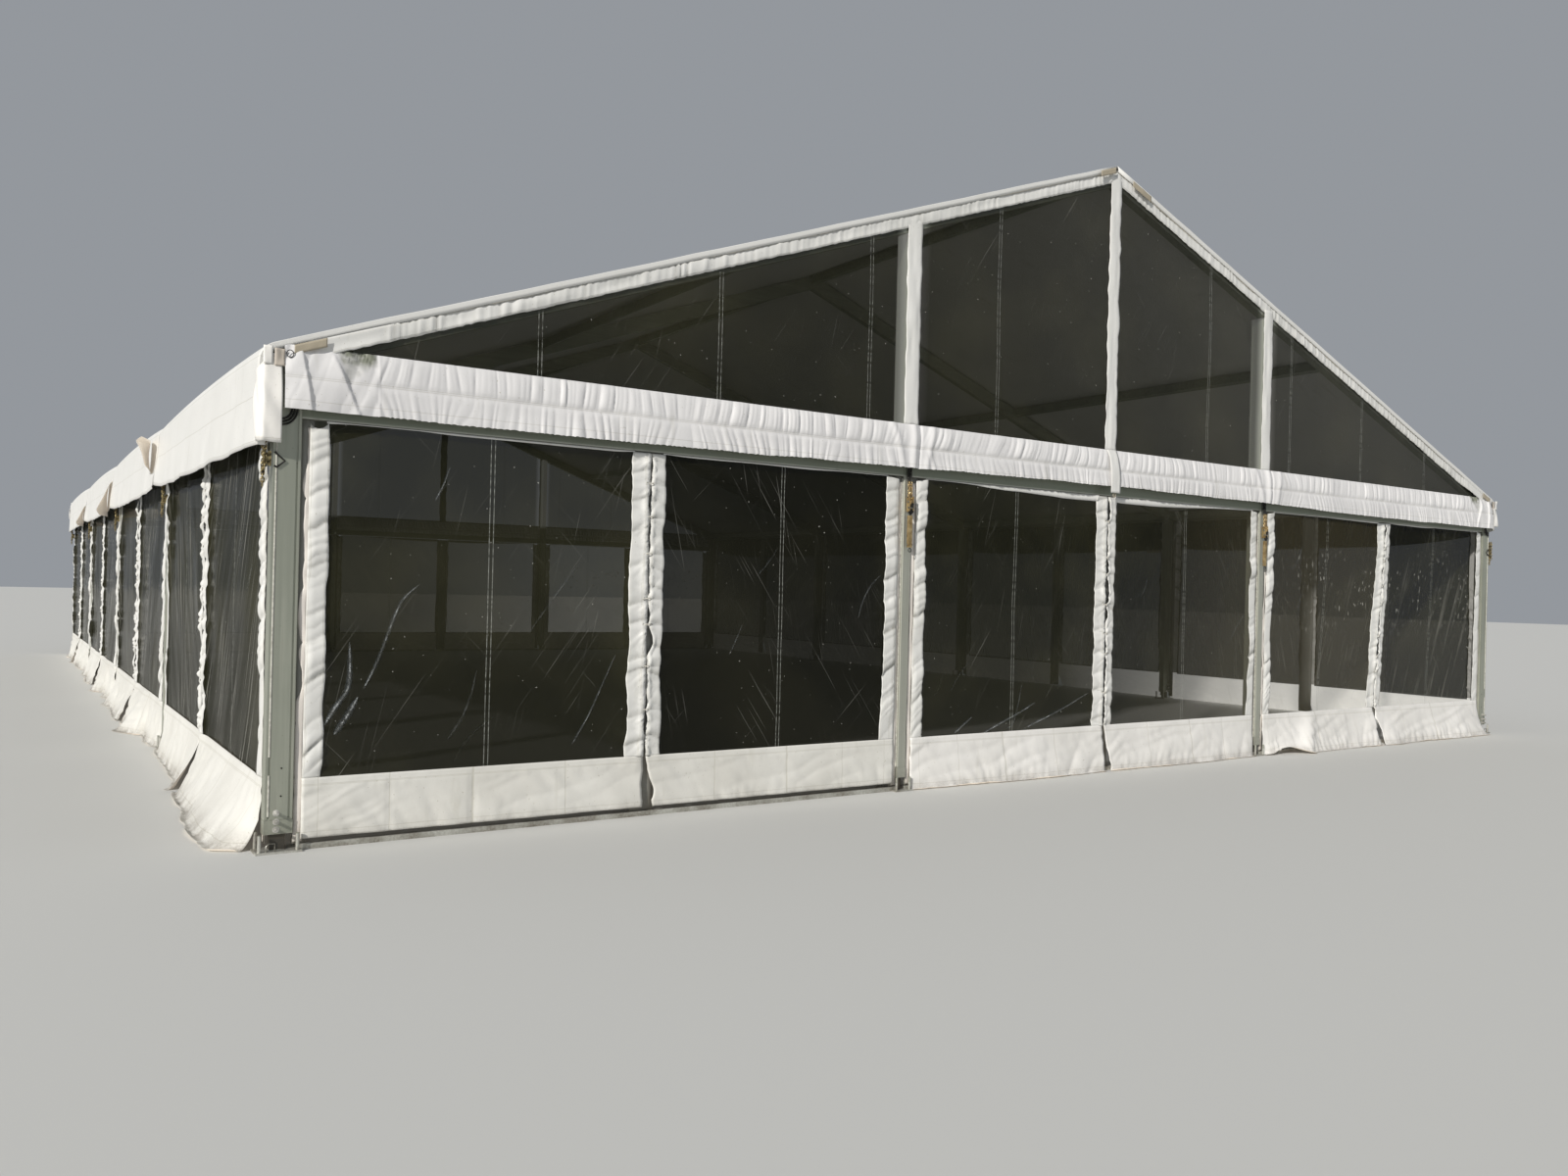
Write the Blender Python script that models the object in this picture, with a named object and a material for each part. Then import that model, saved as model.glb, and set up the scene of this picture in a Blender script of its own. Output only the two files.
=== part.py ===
"""Marquee tent: a clear-span aluminium frame under white PVC, with clear windows.

Metres, +Z up. X runs across the front gable, Y runs back along the tent and -Y
faces the front. The origin is on the ground under the middle of the tent.
"""
import math

import bmesh
import bpy
from mathutils import Vector

# Frame
SPAN_WIDTH = 15.0        # across the outer faces of the legs
BAYS = 4
BAY_LENGTH = 5.0         # between the middles of neighbouring frames
EAVE_HEIGHT = 3.08       # top of the rafter at the outer face of the leg
PITCH = math.radians(20.0)

# Aluminium box profile of the legs, rafters and gable posts
PROFILE_DEPTH = 0.166
PROFILE_WIDTH = 0.088
PROFILE_CORNER = 0.004   # chamfer along each edge
GROOVE_WIDTH = 0.012     # keder groove for the edge rope of a curtain
GROOVE_DEPTH = 0.008
GROOVE_INSET = 0.018     # from the edge of the profile to the groove

# Purlins between the frames
PURLIN_WIDTH = 0.06
PURLIN_HEIGHT = 0.10
EAVE_PURLIN_WIDTH = 0.10
EAVE_PURLIN_HEIGHT = 0.12
PURLIN_INSET = 0.01      # eave purlin, in from the outer face of the legs
PURLIN_DROP = 0.002      # top of a purlin below the top of the rafter
MID_PURLIN_OFFSET = 3.75

# Feet
PLATE_MARGIN = 0.05      # base plate, out from the profile on each side
PLATE_THICKNESS = 0.012
FOOT_RISE = 0.11         # underside of the shoe above the ground
SHOE_TOP = 0.20
SHOE_SEAM = 0.006        # joint line between the shoe and the profile
SEAM_SINK = 0.003
LUG_LENGTH = 0.09        # hinge block that carries the shoe
LUG_WIDTH = 0.05
PIN_RADIUS = 0.011       # stakes through the corners of the base plate
PIN_INSET = 0.024
PIN_HEIGHT = 0.115
PIN_SIDES = 12

# Gable framing
POST_OFFSET = 2.5
RAIL_BOTTOM = 2.65
RAIL_HEIGHT = 0.12
RAIL_DEPTH = 0.06
RAIL_SET_BACK = 0.006    # behind the front face of the posts
BASE_RAIL_HEIGHT = 0.035
BASE_RAIL_DEPTH = 0.06

# Roof covers
COVER = 0.012            # skins are drawn thicker than the fabric they stand for
EAVE_REACH = 0.09        # outer surface of the side valance, out from the legs
EAVE_RADIUS = 0.13       # rounding of the cover as it turns down into the valance
EAVE_STEPS = 5
SIDE_VALANCE_BOTTOM_HEIGHT = 2.48

# Skins of the gable above the rail
SKIN = 0.008
CLEAR = 0.004
GABLE_VALANCE_TOP_HEIGHT = 3.12
GABLE_VALANCE_DROP = 0.39
RAFTER_SHOW = 0.03       # bare rafter above the white band
RAFTER_BAND = 0.11       # white band along the rafter, measured upright
POST_STRIP = 0.14        # white strip over each gable post
RIDGE_STRIP = 0.13
BAND_LAP = 0.02          # clear window behind the white band

# Curtains, each a pair laced together in the middle of its bay
CURTAIN_SET_BACK = 0.012 # outer surface behind the outer face of the frame
WINDOW_BOTTOM = 0.44
SIDE_BORDER = 0.165
SEAM_BORDER = 0.27       # both borders of the laced seam
TOP_HEM = 0.03
WINDOW_LAP = 0.02
GABLE_HEM = 0.045        # hem above the ground, clear of the base rail
SIDE_HEM = 0.002
SKIRT_KNEE = 0.38        # the side skirts spread outwards below this height
SKIRT_SPREAD = 0.22

GAP = 0.0003             # between pieces that touch

HALF_WIDTH = SPAN_WIDTH / 2
SLOPE = math.tan(PITCH)
RAFTER_DROP = PROFILE_DEPTH / math.cos(PITCH)
FRAME_Y = [(index - BAYS / 2) * BAY_LENGTH for index in range(BAYS + 1)]
FACE_Y = BAYS * BAY_LENGTH / 2 + PROFILE_WIDTH / 2
HALF_TURN = math.pi
QUARTER_TURN = math.pi / 2


def roof_z(x):
    """Top of the rafters at a place across the span."""
    return EAVE_HEIGHT + (HALF_WIDTH - abs(x)) * SLOPE


def clear_scene():
    for item in list(bpy.data.objects):
        bpy.data.objects.remove(item, do_unlink=True)


def make_material(name, color, roughness, metallic=0.0, alpha=1.0):
    material = bpy.data.materials.new(name)
    material.use_nodes = True
    shader = material.node_tree.nodes["Principled BSDF"]
    shader.inputs["Base Color"].default_value = (*color, 1.0)
    shader.inputs["Roughness"].default_value = roughness
    shader.inputs["Metallic"].default_value = metallic
    shader.inputs["Alpha"].default_value = alpha
    material.diffuse_color = (*color, alpha)
    return material


def place(name, mesh, material, location=(0, 0, 0), turn=0.0):
    piece = bpy.data.objects.new(name, mesh)
    if not mesh.materials:
        mesh.materials.append(material)
    piece.location = location
    piece.rotation_euler.z = turn
    bpy.context.collection.objects.link(piece)
    return piece


def swept(name, faces, sweep):
    """Closed mesh: flat faces, each a list of corners, swept along a vector."""
    shape = bmesh.new()
    corners_made = {}
    for corners in faces:
        ring = []
        for corner in corners:
            key = tuple(round(value, 6) for value in corner)
            if key not in corners_made:
                corners_made[key] = shape.verts.new(corner)
            ring.append(corners_made[key])
        shape.faces.new(ring)
    far_side = bmesh.ops.extrude_face_region(shape, geom=shape.faces[:])["geom"]
    moved = [item for item in far_side if isinstance(item, bmesh.types.BMVert)]
    bmesh.ops.translate(shape, vec=Vector(sweep), verts=moved)
    bmesh.ops.recalc_face_normals(shape, faces=shape.faces[:])
    mesh = bpy.data.meshes.new(name)
    shape.to_mesh(mesh)
    shape.free()
    return mesh


def block(name, low, high):
    (x0, y0, z0), (x1, y1, z1) = low, high
    base = [(x0, y0, z0), (x1, y0, z0), (x1, y1, z0), (x0, y1, z0)]
    return swept(name, [base], (0, 0, z1 - z0))


def fused(name, meshes):
    """One closed mesh from overlapping ones."""
    collection = bpy.context.collection
    pieces = [bpy.data.objects.new(name, mesh) for mesh in meshes]
    for piece in pieces:
        collection.objects.link(piece)
    for other in pieces[1:]:
        union = pieces[0].modifiers.new("union", "BOOLEAN")
        union.operation = "UNION"
        union.solver = "EXACT"
        union.object = other
    graph = bpy.context.evaluated_depsgraph_get()
    mesh = bpy.data.meshes.new_from_object(pieces[0].evaluated_get(graph))
    mesh.name = name
    for piece in pieces:
        bpy.data.objects.remove(piece, do_unlink=True)
    return mesh


def grooved_outline(depth, width):
    """Section of the box profile, long way along X from 0, with four keder grooves."""
    half = width / 2
    chamfer = PROFILE_CORNER
    starts = (GROOVE_INSET, depth - GROOVE_INSET - GROOVE_WIDTH)
    lower = [(chamfer, -half)]
    for start in starts:
        lower += [(start, -half), (start, -half + GROOVE_DEPTH)]
        lower += [(start + GROOVE_WIDTH, -half + GROOVE_DEPTH), (start + GROOVE_WIDTH, -half)]
    lower += [(depth - chamfer, -half), (depth, -half + chamfer)]
    upper = [(depth - x, -y) for x, y in lower]
    return lower + upper


def profile(name, bottom, top_at, along_y=False, start=(0, 0)):
    """Upright length of the grooved profile whose top follows a sloping cut."""
    outline = grooved_outline(PROFILE_DEPTH, PROFILE_WIDTH)
    if along_y:
        outline = [(-y, x) for x, y in outline]
    outline = [(x + start[0], y + start[1]) for x, y in outline]
    mesh = swept(name, [[(x, y, bottom) for x, y in outline]], (0, 0, 1))
    for vertex in mesh.vertices:
        if vertex.co.z > bottom + GAP:
            vertex.co.z = top_at(vertex.co.x)
    return mesh


def foot(centre, half_x, half_y):
    """Base plate, hinge block, shoe and stakes under an upright."""
    x, y = centre
    plate_x = half_x + PLATE_MARGIN
    plate_y = half_y + PLATE_MARGIN
    long_x = half_x > half_y
    lug_x = (LUG_LENGTH if long_x else LUG_WIDTH) / 2
    lug_y = (LUG_WIDTH if long_x else LUG_LENGTH) / 2
    neck_x = half_x - SEAM_SINK
    neck_y = half_y - SEAM_SINK
    sunk = PLATE_THICKNESS / 2
    parts = [
        block("plate", (x - plate_x, y - plate_y, 0), (x + plate_x, y + plate_y, PLATE_THICKNESS)),
        block("lug", (x - lug_x, y - lug_y, sunk), (x + lug_x, y + lug_y, FOOT_RISE + SHOE_SEAM)),
        block("shoe", (x - half_x, y - half_y, FOOT_RISE),
              (x + half_x, y + half_y, SHOE_TOP - SHOE_SEAM)),
        block("neck", (x - neck_x, y - neck_y, SHOE_TOP - 2 * SHOE_SEAM),
              (x + neck_x, y + neck_y, SHOE_TOP + SHOE_SEAM)),
    ]
    for side_x in (-1, 1):
        for side_y in (-1, 1):
            pin_x = x + side_x * (plate_x - PIN_INSET)
            pin_y = y + side_y * (plate_y - PIN_INSET)
            ring = []
            for step in range(PIN_SIDES):
                angle = 2 * math.pi * step / PIN_SIDES
                ring.append((pin_x + PIN_RADIUS * math.cos(angle),
                             pin_y + PIN_RADIUS * math.sin(angle), sunk))
            parts.append(swept("pin", [ring], (0, 0, PIN_HEIGHT - sunk)))
    return parts


def leg_mesh():
    """Leg of the left side: outer face at X = 0, middle of the frame at Y = 0."""
    def top_at(x):
        return roof_z(x - HALF_WIDTH) - RAFTER_DROP - GAP

    parts = foot((PROFILE_DEPTH / 2, 0), PROFILE_DEPTH / 2, PROFILE_WIDTH / 2)
    return fused("leg", [profile("upright", SHOE_TOP, top_at)] + parts)


def add_legs(material):
    mesh = leg_mesh()
    for number, y in enumerate(FRAME_Y, start=1):
        place(f"leg_left_{number}", mesh, material, (-HALF_WIDTH, y, 0))
        place(f"leg_right_{number}", mesh, material, (HALF_WIDTH, y, 0), HALF_TURN)


def purlin(name, x0, x1, height, length):
    """Purlin under the roof line, from the middle of its frame to the next frame."""
    edges = [x0, x1] if x0 * x1 >= 0 else [x0, 0.0, x1]
    top = [(x, 0, roof_z(x) - PURLIN_DROP) for x in edges]
    low = min(z for _, _, z in top) - height if len(edges) == 3 else None
    bottom = [(x, 0, z - height if low is None else low) for x, _, z in top if x]
    return swept(name, [top + bottom[::-1]], (0, length, 0))


def rafter_mesh():
    """Pair of rafters joined at the ridge, middle of the frame at Y = 0."""
    xs = (-HALF_WIDTH, 0.0, HALF_WIDTH)
    top = [(x, -PROFILE_WIDTH / 2, roof_z(x)) for x in xs]
    bottom = [(x, y, z - RAFTER_DROP) for x, y, z in top]
    left = [top[0], top[1], bottom[1], bottom[0]]
    right = [top[1], top[2], bottom[2], bottom[1]]
    return swept("rafters", [left, right], (0, PROFILE_WIDTH, 0))


def roof_frame_mesh():
    """Rafters and the purlins that run back from them to the next frame."""
    length = BAY_LENGTH - PROFILE_WIDTH / 2 - GAP
    outer = HALF_WIDTH - PURLIN_INSET
    half = PURLIN_WIDTH / 2
    purlins = [purlin("ridge_purlin", -half, half, PURLIN_HEIGHT, length)]
    for side in (-1, 1):
        middle = side * MID_PURLIN_OFFSET
        eave = sorted((side * outer, side * (outer - EAVE_PURLIN_WIDTH)))
        purlins.append(purlin("purlin", middle - half, middle + half, PURLIN_HEIGHT, length))
        purlins.append(purlin("eave_purlin", *eave, EAVE_PURLIN_HEIGHT, length))
    return fused("roof_frame", [rafter_mesh()] + purlins)


def add_roof_frames(material):
    with_purlins = roof_frame_mesh()
    for number, y in enumerate(FRAME_Y[:-1], start=1):
        place(f"roof_frame_{number}", with_purlins, material, (0, y, 0))
    place(f"roof_frame_{BAYS + 1}", rafter_mesh(), material, (0, FRAME_Y[-1], 0))


def gable_frame_mesh():
    """Two posts with the rail under the valance and the base rail between the feet.

    The front face of the posts is at Y = 0 and the tent lies towards +Y.
    """
    parts = []
    for x in (-POST_OFFSET, POST_OFFSET):
        parts.append(profile("post", SHOE_TOP, lambda at: roof_z(at) - RAFTER_DROP - GAP,
                             along_y=True, start=(x, 0)))
        parts += foot((x, PROFILE_DEPTH / 2), PROFILE_WIDTH / 2, PROFILE_DEPTH / 2)
    end = HALF_WIDTH - PROFILE_DEPTH - GAP
    parts.append(block("rail", (-end, RAIL_SET_BACK, RAIL_BOTTOM),
                       (end, RAIL_SET_BACK + RAIL_DEPTH, RAIL_BOTTOM + RAIL_HEIGHT)))
    base_end = end - PLATE_MARGIN
    parts.append(block("base_rail", (-base_end, RAIL_SET_BACK, 0),
                       (base_end, RAIL_SET_BACK + BASE_RAIL_DEPTH, BASE_RAIL_HEIGHT)))
    return fused("gable_frame", parts)


def cover_path(inset):
    """Half of the roof cover's section, valance hem to ridge, in from its outer surface."""
    reach = HALF_WIDTH + EAVE_REACH
    rise = GAP + COVER / math.cos(PITCH)
    centre_x = reach - EAVE_RADIUS
    centre_z = roof_z(centre_x) + rise - EAVE_RADIUS / math.cos(PITCH)
    path = [(reach - inset, SIDE_VALANCE_BOTTOM_HEIGHT)]
    for step in range(EAVE_STEPS + 1):
        angle = (QUARTER_TURN - PITCH) * step / EAVE_STEPS
        path.append((centre_x + (EAVE_RADIUS - inset) * math.cos(angle),
                     centre_z + (EAVE_RADIUS - inset) * math.sin(angle)))
    path.append((0.0, roof_z(0) + rise - inset / math.cos(PITCH)))
    return path


def cover_mesh(y0, y1):
    """Roof cover of one bay, rounded over both eaves and left hanging as a valance."""
    inner = cover_path(COVER)
    outer = cover_path(0.0)
    faces = []
    for side in (-1, 1):
        for first in range(len(inner) - 1):
            quad = [inner[first], inner[first + 1], outer[first + 1], outer[first]]
            faces.append([(side * x, y0, z) for x, z in quad])
    return swept("roof_cover", faces, (0, y1 - y0, 0))


def add_roof_covers(material):
    for number in range(1, BAYS + 1):
        y0 = -FACE_Y if number == 1 else FRAME_Y[number - 1] + GAP / 2
        y1 = FACE_Y if number == BAYS else FRAME_Y[number] - GAP / 2
        place(f"roof_cover_{number}", cover_mesh(y0, y1), material)


def valance_mesh():
    """Front valance, its top corners cut to the roof line."""
    end = HALF_WIDTH + GAP + COVER
    shoulder = HALF_WIDTH - (GABLE_VALANCE_TOP_HEIGHT + RAFTER_SHOW - EAVE_HEIGHT) / SLOPE
    half = [(end, GABLE_VALANCE_TOP_HEIGHT - GABLE_VALANCE_DROP),
            (end, roof_z(end) - RAFTER_SHOW), (shoulder, GABLE_VALANCE_TOP_HEIGHT)]
    outline = half + [(-x, z) for x, z in half[::-1]]
    return swept("gable_valance", [[(x, -GAP, z) for x, z in outline]], (0, -SKIN, 0))


def gable_window_mesh():
    """Clear triangle between the valance and the rafters."""
    base = GABLE_VALANCE_TOP_HEIGHT + GAP
    under = RAFTER_SHOW + BAND_LAP
    half_width = HALF_WIDTH - (base + under - EAVE_HEIGHT) / SLOPE
    outline = [(-half_width, base), (half_width, base), (0.0, roof_z(0) - under)]
    return swept("gable_window", [[(x, -GAP, z) for x, z in outline]], (0, -CLEAR, 0))


def gable_trim_mesh():
    """White band along the rafters with the strips over the posts and the ridge."""
    base = GABLE_VALANCE_TOP_HEIGHT + GAP
    low = RAFTER_SHOW + RAFTER_BAND
    tip = HALF_WIDTH - (base + RAFTER_SHOW - EAVE_HEIGHT) / SLOPE
    heel = HALF_WIDTH - (base + low - EAVE_HEIGHT) / SLOPE
    strips = [(-POST_OFFSET - POST_STRIP / 2, -POST_OFFSET + POST_STRIP / 2),
              (-RIDGE_STRIP / 2, 0.0), (0.0, RIDGE_STRIP / 2),
              (POST_OFFSET - POST_STRIP / 2, POST_OFFSET + POST_STRIP / 2)]
    y = -2 * GAP - CLEAR
    edges = sorted({-heel, heel} | {edge for strip in strips for edge in strip})

    def above(x):
        return (x, y, roof_z(x) - RAFTER_SHOW)

    def below(x):
        return (x, y, roof_z(x) - low)

    faces = []
    for x0, x1 in zip(edges, edges[1:]):
        faces.append([above(x0), below(x0), below(x1), above(x1)])
        if (x0, x1) in strips:
            faces.append([below(x0), (x0, y, base), (x1, y, base), below(x1)])
    for side in (-1, 1):
        faces.append([above(side * heel), below(side * heel), (side * tip, y, base)])
    return swept("gable_trim", faces, (0, -SKIN, 0))


def add_gables(aluminium, white, clear):
    pieces = (("gable_frame", gable_frame_mesh(), aluminium),
              ("gable_valance", valance_mesh(), white),
              ("gable_window", gable_window_mesh(), clear),
              ("gable_trim", gable_trim_mesh(), white))
    for name, mesh, material in pieces:
        place(f"{name}_front", mesh, material, (0, -FACE_Y, 0))
        place(f"{name}_back", mesh, material, (0, FACE_Y, 0), HALF_TURN)


def curtain_mesh(width, hem, top, knee, spread):
    """White borders and skirt of one bay, round its two window openings.

    X runs along the wall, -Y faces outwards and the outer face is at Y = 0. The
    skirt leans out below its knee.
    """
    seam = SEAM_BORDER / 2
    edges = [-width / 2, SIDE_BORDER - width / 2, -seam, seam, width / 2 - SIDE_BORDER, width / 2]
    levels = [hem, knee, WINDOW_BOTTOM, top - TOP_HEM, top]

    def corner(x, z):
        lean = spread * max(0.0, knee - z) / (knee - hem)
        return (x, -lean, z)

    faces = []
    for column, (x0, x1) in enumerate(zip(edges, edges[1:])):
        for row, (z0, z1) in enumerate(zip(levels, levels[1:])):
            if row == 2 and column in (1, 3):
                continue
            faces.append([corner(x0, z0), corner(x1, z0), corner(x1, z1), corner(x0, z1)])
    return swept("curtain", faces, (0, SKIN, 0))


def window_mesh(width, top):
    """Clear sheet behind the borders of one curtain."""
    front = SKIN + GAP
    return block("window", (-width / 2, front, WINDOW_BOTTOM - WINDOW_LAP),
                 (width / 2, front + CLEAR, top))


def add_wall_bay(wall, number, meshes, location, turn, white, clear):
    curtain, window = meshes
    place(f"curtain_{wall}_{number}", curtain, white, location, turn)
    place(f"window_{wall}_{number}", window, clear, location, turn)


def add_gable_curtains(white, clear):
    """Three bays in each gable: leg to post, post to post, post to leg."""
    leg_face = HALF_WIDTH - PROFILE_DEPTH
    post_face = PROFILE_WIDTH / 2
    spans = [(-leg_face, -POST_OFFSET - post_face), (-POST_OFFSET + post_face, POST_OFFSET - post_face),
             (POST_OFFSET + post_face, leg_face)]
    top = RAIL_BOTTOM - GAP
    for number, (x0, x1) in enumerate(spans, start=1):
        width = x1 - x0 - 2 * GAP
        meshes = (curtain_mesh(width, GABLE_HEM, top, SKIRT_KNEE, 0.0), window_mesh(width, top))
        middle = (x0 + x1) / 2
        y = FACE_Y - CURTAIN_SET_BACK
        add_wall_bay("front", number, meshes, (middle, -y, 0), 0.0, white, clear)
        add_wall_bay("back", number, meshes, (-middle, y, 0), HALF_TURN, white, clear)


def add_side_curtains(white, clear):
    """One bay between each pair of legs, hung from the eave purlin."""
    width = BAY_LENGTH - PROFILE_WIDTH - 2 * GAP
    outer = HALF_WIDTH - PURLIN_INSET
    top = roof_z(outer) - PURLIN_DROP - EAVE_PURLIN_HEIGHT - GAP
    meshes = (curtain_mesh(width, SIDE_HEM, top, SKIRT_KNEE, SKIRT_SPREAD), window_mesh(width, top))
    x = HALF_WIDTH - CURTAIN_SET_BACK
    for number in range(1, BAYS + 1):
        y = (FRAME_Y[number - 1] + FRAME_Y[number]) / 2
        add_wall_bay("left", number, meshes, (-x, y, 0), -QUARTER_TURN, white, clear)
        add_wall_bay("right", number, meshes, (x, y, 0), QUARTER_TURN, white, clear)


clear_scene()
anodised = make_material("aluminium", (0.42, 0.44, 0.41), 0.45, metallic=0.8)
white_pvc = make_material("white_pvc", (0.82, 0.82, 0.80), 0.5)
clear_pvc = make_material("clear_pvc", (0.10, 0.11, 0.09), 0.1, alpha=0.45)
add_legs(anodised)
add_roof_frames(anodised)
add_roof_covers(white_pvc)
add_gables(anodised, white_pvc, clear_pvc)
add_gable_curtains(white_pvc, clear_pvc)
add_side_curtains(white_pvc, clear_pvc)
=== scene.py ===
"""Looks of the marquee tent, in the order in which the crew puts it together.

Metres, +Z up. X runs across the front gable, Y runs back along the tent and -Y
faces the front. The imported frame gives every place, and scene.py dresses it.
"""
import math

import bmesh
import bpy
import numpy as np
from mathutils import Matrix, Vector


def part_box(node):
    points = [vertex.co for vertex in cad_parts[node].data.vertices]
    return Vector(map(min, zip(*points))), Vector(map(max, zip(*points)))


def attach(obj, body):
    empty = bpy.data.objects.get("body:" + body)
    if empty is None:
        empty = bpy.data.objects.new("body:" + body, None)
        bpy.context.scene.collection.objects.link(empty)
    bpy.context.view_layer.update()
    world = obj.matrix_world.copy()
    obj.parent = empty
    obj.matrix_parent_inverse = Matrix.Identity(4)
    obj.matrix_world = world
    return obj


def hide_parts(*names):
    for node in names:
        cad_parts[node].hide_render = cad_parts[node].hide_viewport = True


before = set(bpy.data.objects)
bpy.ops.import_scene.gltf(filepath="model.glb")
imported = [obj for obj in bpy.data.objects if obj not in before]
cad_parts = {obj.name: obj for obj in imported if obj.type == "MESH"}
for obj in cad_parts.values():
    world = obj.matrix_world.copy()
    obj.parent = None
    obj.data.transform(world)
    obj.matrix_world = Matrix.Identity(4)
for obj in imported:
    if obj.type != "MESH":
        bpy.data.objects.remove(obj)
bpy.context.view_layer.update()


# Frame profiles
# Legs, rafters, purlins, gable posts and rails are extruded box profiles of clear
# anodised aluminium. Years of hire have left run marks, stains and soil at the feet.
ALUMINIUM_PALE = (0.445, 0.458, 0.385)
ALUMINIUM_DARK = (0.35, 0.368, 0.305)
ALUMINIUM_STAIN = (0.12, 0.115, 0.085)
SOIL = (0.115, 0.085, 0.05)
SOIL_TOP = 0.28          # splashed earth fades out at this height
# Painted shade: the hinge blocks under the shoes are painted near black for the shade in that gap.
HINGE_PAINTED_SHADE = (0.035, 0.033, 0.028)
HINGE_RANGE = (0.014, 0.109)   # hinge blocks between the base plates and the shoes
PLATED_SHOE = (0.74, 0.73, 0.69)
# Painted shade: the gable framing above RAIL_LOW is painted dark green for the shade under the valance.
RAIL_PAINTED_SHADE = (0.20, 0.225, 0.17)
RAIL_PALE = (0.72, 0.70, 0.64)
RAIL_LOW = 2.665         # underside of the rail over the curtains
RAIL_PAINTED_GLOW = (0.84, 0.83, 0.78)
GLOW_RANGE = (3.02, 3.10)    # painted glow: from the first height the gable framing emits light, full from the second, in place of daylight
# Painted light: the base rail below BASE_RAIL_TOP is painted paler, as if sunlit.
BASE_RAIL_TOP = 0.070
BASE_RAIL_PAINTED_LIGHT = (0.74, 0.74, 0.70)
PLATE_PROUD = 0.05       # base plate past its profile, all round


def node(tree, kind, inputs=None, **settings):
    """New shader node; each input is a value or another node's output."""
    made = tree.nodes.new("ShaderNode" + kind)
    for name, value in settings.items():
        setattr(made, name, value)
    for key, value in (inputs or {}).items():
        socket = made.inputs[key]
        if isinstance(value, bpy.types.NodeSocket):
            tree.links.new(value, socket)
        elif socket.type == "RGBA":
            socket.default_value = (*value[:3], 1.0)
        else:
            socket.default_value = value
    return made


def calc(tree, operation, *values):
    return node(tree, "Math", dict(enumerate(values)), operation=operation).outputs[0]


def times(tree, first, *others):
    for other in others:
        first = calc(tree, "MULTIPLY", first, other)
    return first


def mixed(tree, factor, first, second):
    return node(tree, "Mix", {0: factor, 6: first, 7: second}, data_type="RGBA").outputs[2]


def faded(tree, value, low, high):
    """0 where the value is at low, 1 where it is at high, held outside."""
    return node(tree, "MapRange", {0: value, 1: low, 2: high}).outputs[0]


def speckle(tree, vector, scale, detail=4.0):
    return node(tree, "TexNoise", {"Vector": vector, "Scale": scale, "Detail": detail}).outputs[0]


def axes_of(tree, vector):
    return node(tree, "SeparateXYZ", {0: vector}).outputs


def object_place(tree):
    return node(tree, "TexCoord").outputs["Object"]


def uv_place(tree, layer="UVMap"):
    return node(tree, "UVMap", uv_map=layer).outputs[0]


def stretched(tree, vector, scale, turn=0.0):
    """Texture place with its own scale along each axis, the first axis turned from X."""
    settings = {"Vector": vector, "Scale": [1 / value for value in scale], "Rotation": (0.0, 0.0, turn)}
    return node(tree, "Mapping", settings, vector_type="TEXTURE").outputs[0]


def shader_group(name, inputs, outputs):
    """Empty shader group with its sockets, and its two end nodes."""
    group = bpy.data.node_groups.new(name, "ShaderNodeTree")
    for label, kind in inputs:
        group.interface.new_socket(name=label, in_out="INPUT", socket_type="NodeSocket" + kind)
    for label, kind in outputs:
        group.interface.new_socket(name=label, in_out="OUTPUT", socket_type="NodeSocket" + kind)
    return group, group.nodes.new("NodeGroupInput"), group.nodes.new("NodeGroupOutput")


def soiling_group():
    """Splashed earth near the ground, broken up by two sizes of noise."""
    sockets = [("Vector", "Vector"), ("Colour", "Color"), ("Top", "Float"), ("Strength", "Float")]
    group, source, sink = shader_group("soiling", sockets, [("Colour", "Color"), ("Mask", "Float")])
    vector = source.outputs["Vector"]
    rise = faded(group, axes_of(group, vector)[2], source.outputs["Top"], 0.0)
    coarse = faded(group, speckle(group, vector, 6.0), 0.38, 0.62)
    fine = faded(group, speckle(group, vector, 70.0), 0.35, 0.7)
    broken = calc(group, "ADD", times(group, coarse, 0.6), times(group, fine, 0.4))
    mask = times(group, calc(group, "POWER", rise, 1.6), broken, source.outputs["Strength"])
    group.links.new(mixed(group, mask, source.outputs["Colour"], SOIL), sink.inputs["Colour"])
    group.links.new(mask, sink.inputs["Mask"])
    return group


soiling = soiling_group()


def soiled(tree, vector, colour, top, strength):
    made = node(tree, "Group", node_tree=soiling)
    for key, value in (("Vector", vector), ("Colour", colour), ("Top", top), ("Strength", strength)):
        if isinstance(value, bpy.types.NodeSocket):
            tree.links.new(value, made.inputs[key])
        else:
            made.inputs[key].default_value = value
    return made.outputs["Colour"]


def new_material(name, **plain):
    """Principled material with its plain sockets set; returns material, tree and shader."""
    material = bpy.data.materials.new(name)
    material.use_nodes = True
    shader = material.node_tree.nodes["Principled BSDF"]
    for key, value in plain.items():
        shader.inputs[key.replace("_", " ")].default_value = value
    return material, material.node_tree, shader


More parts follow.
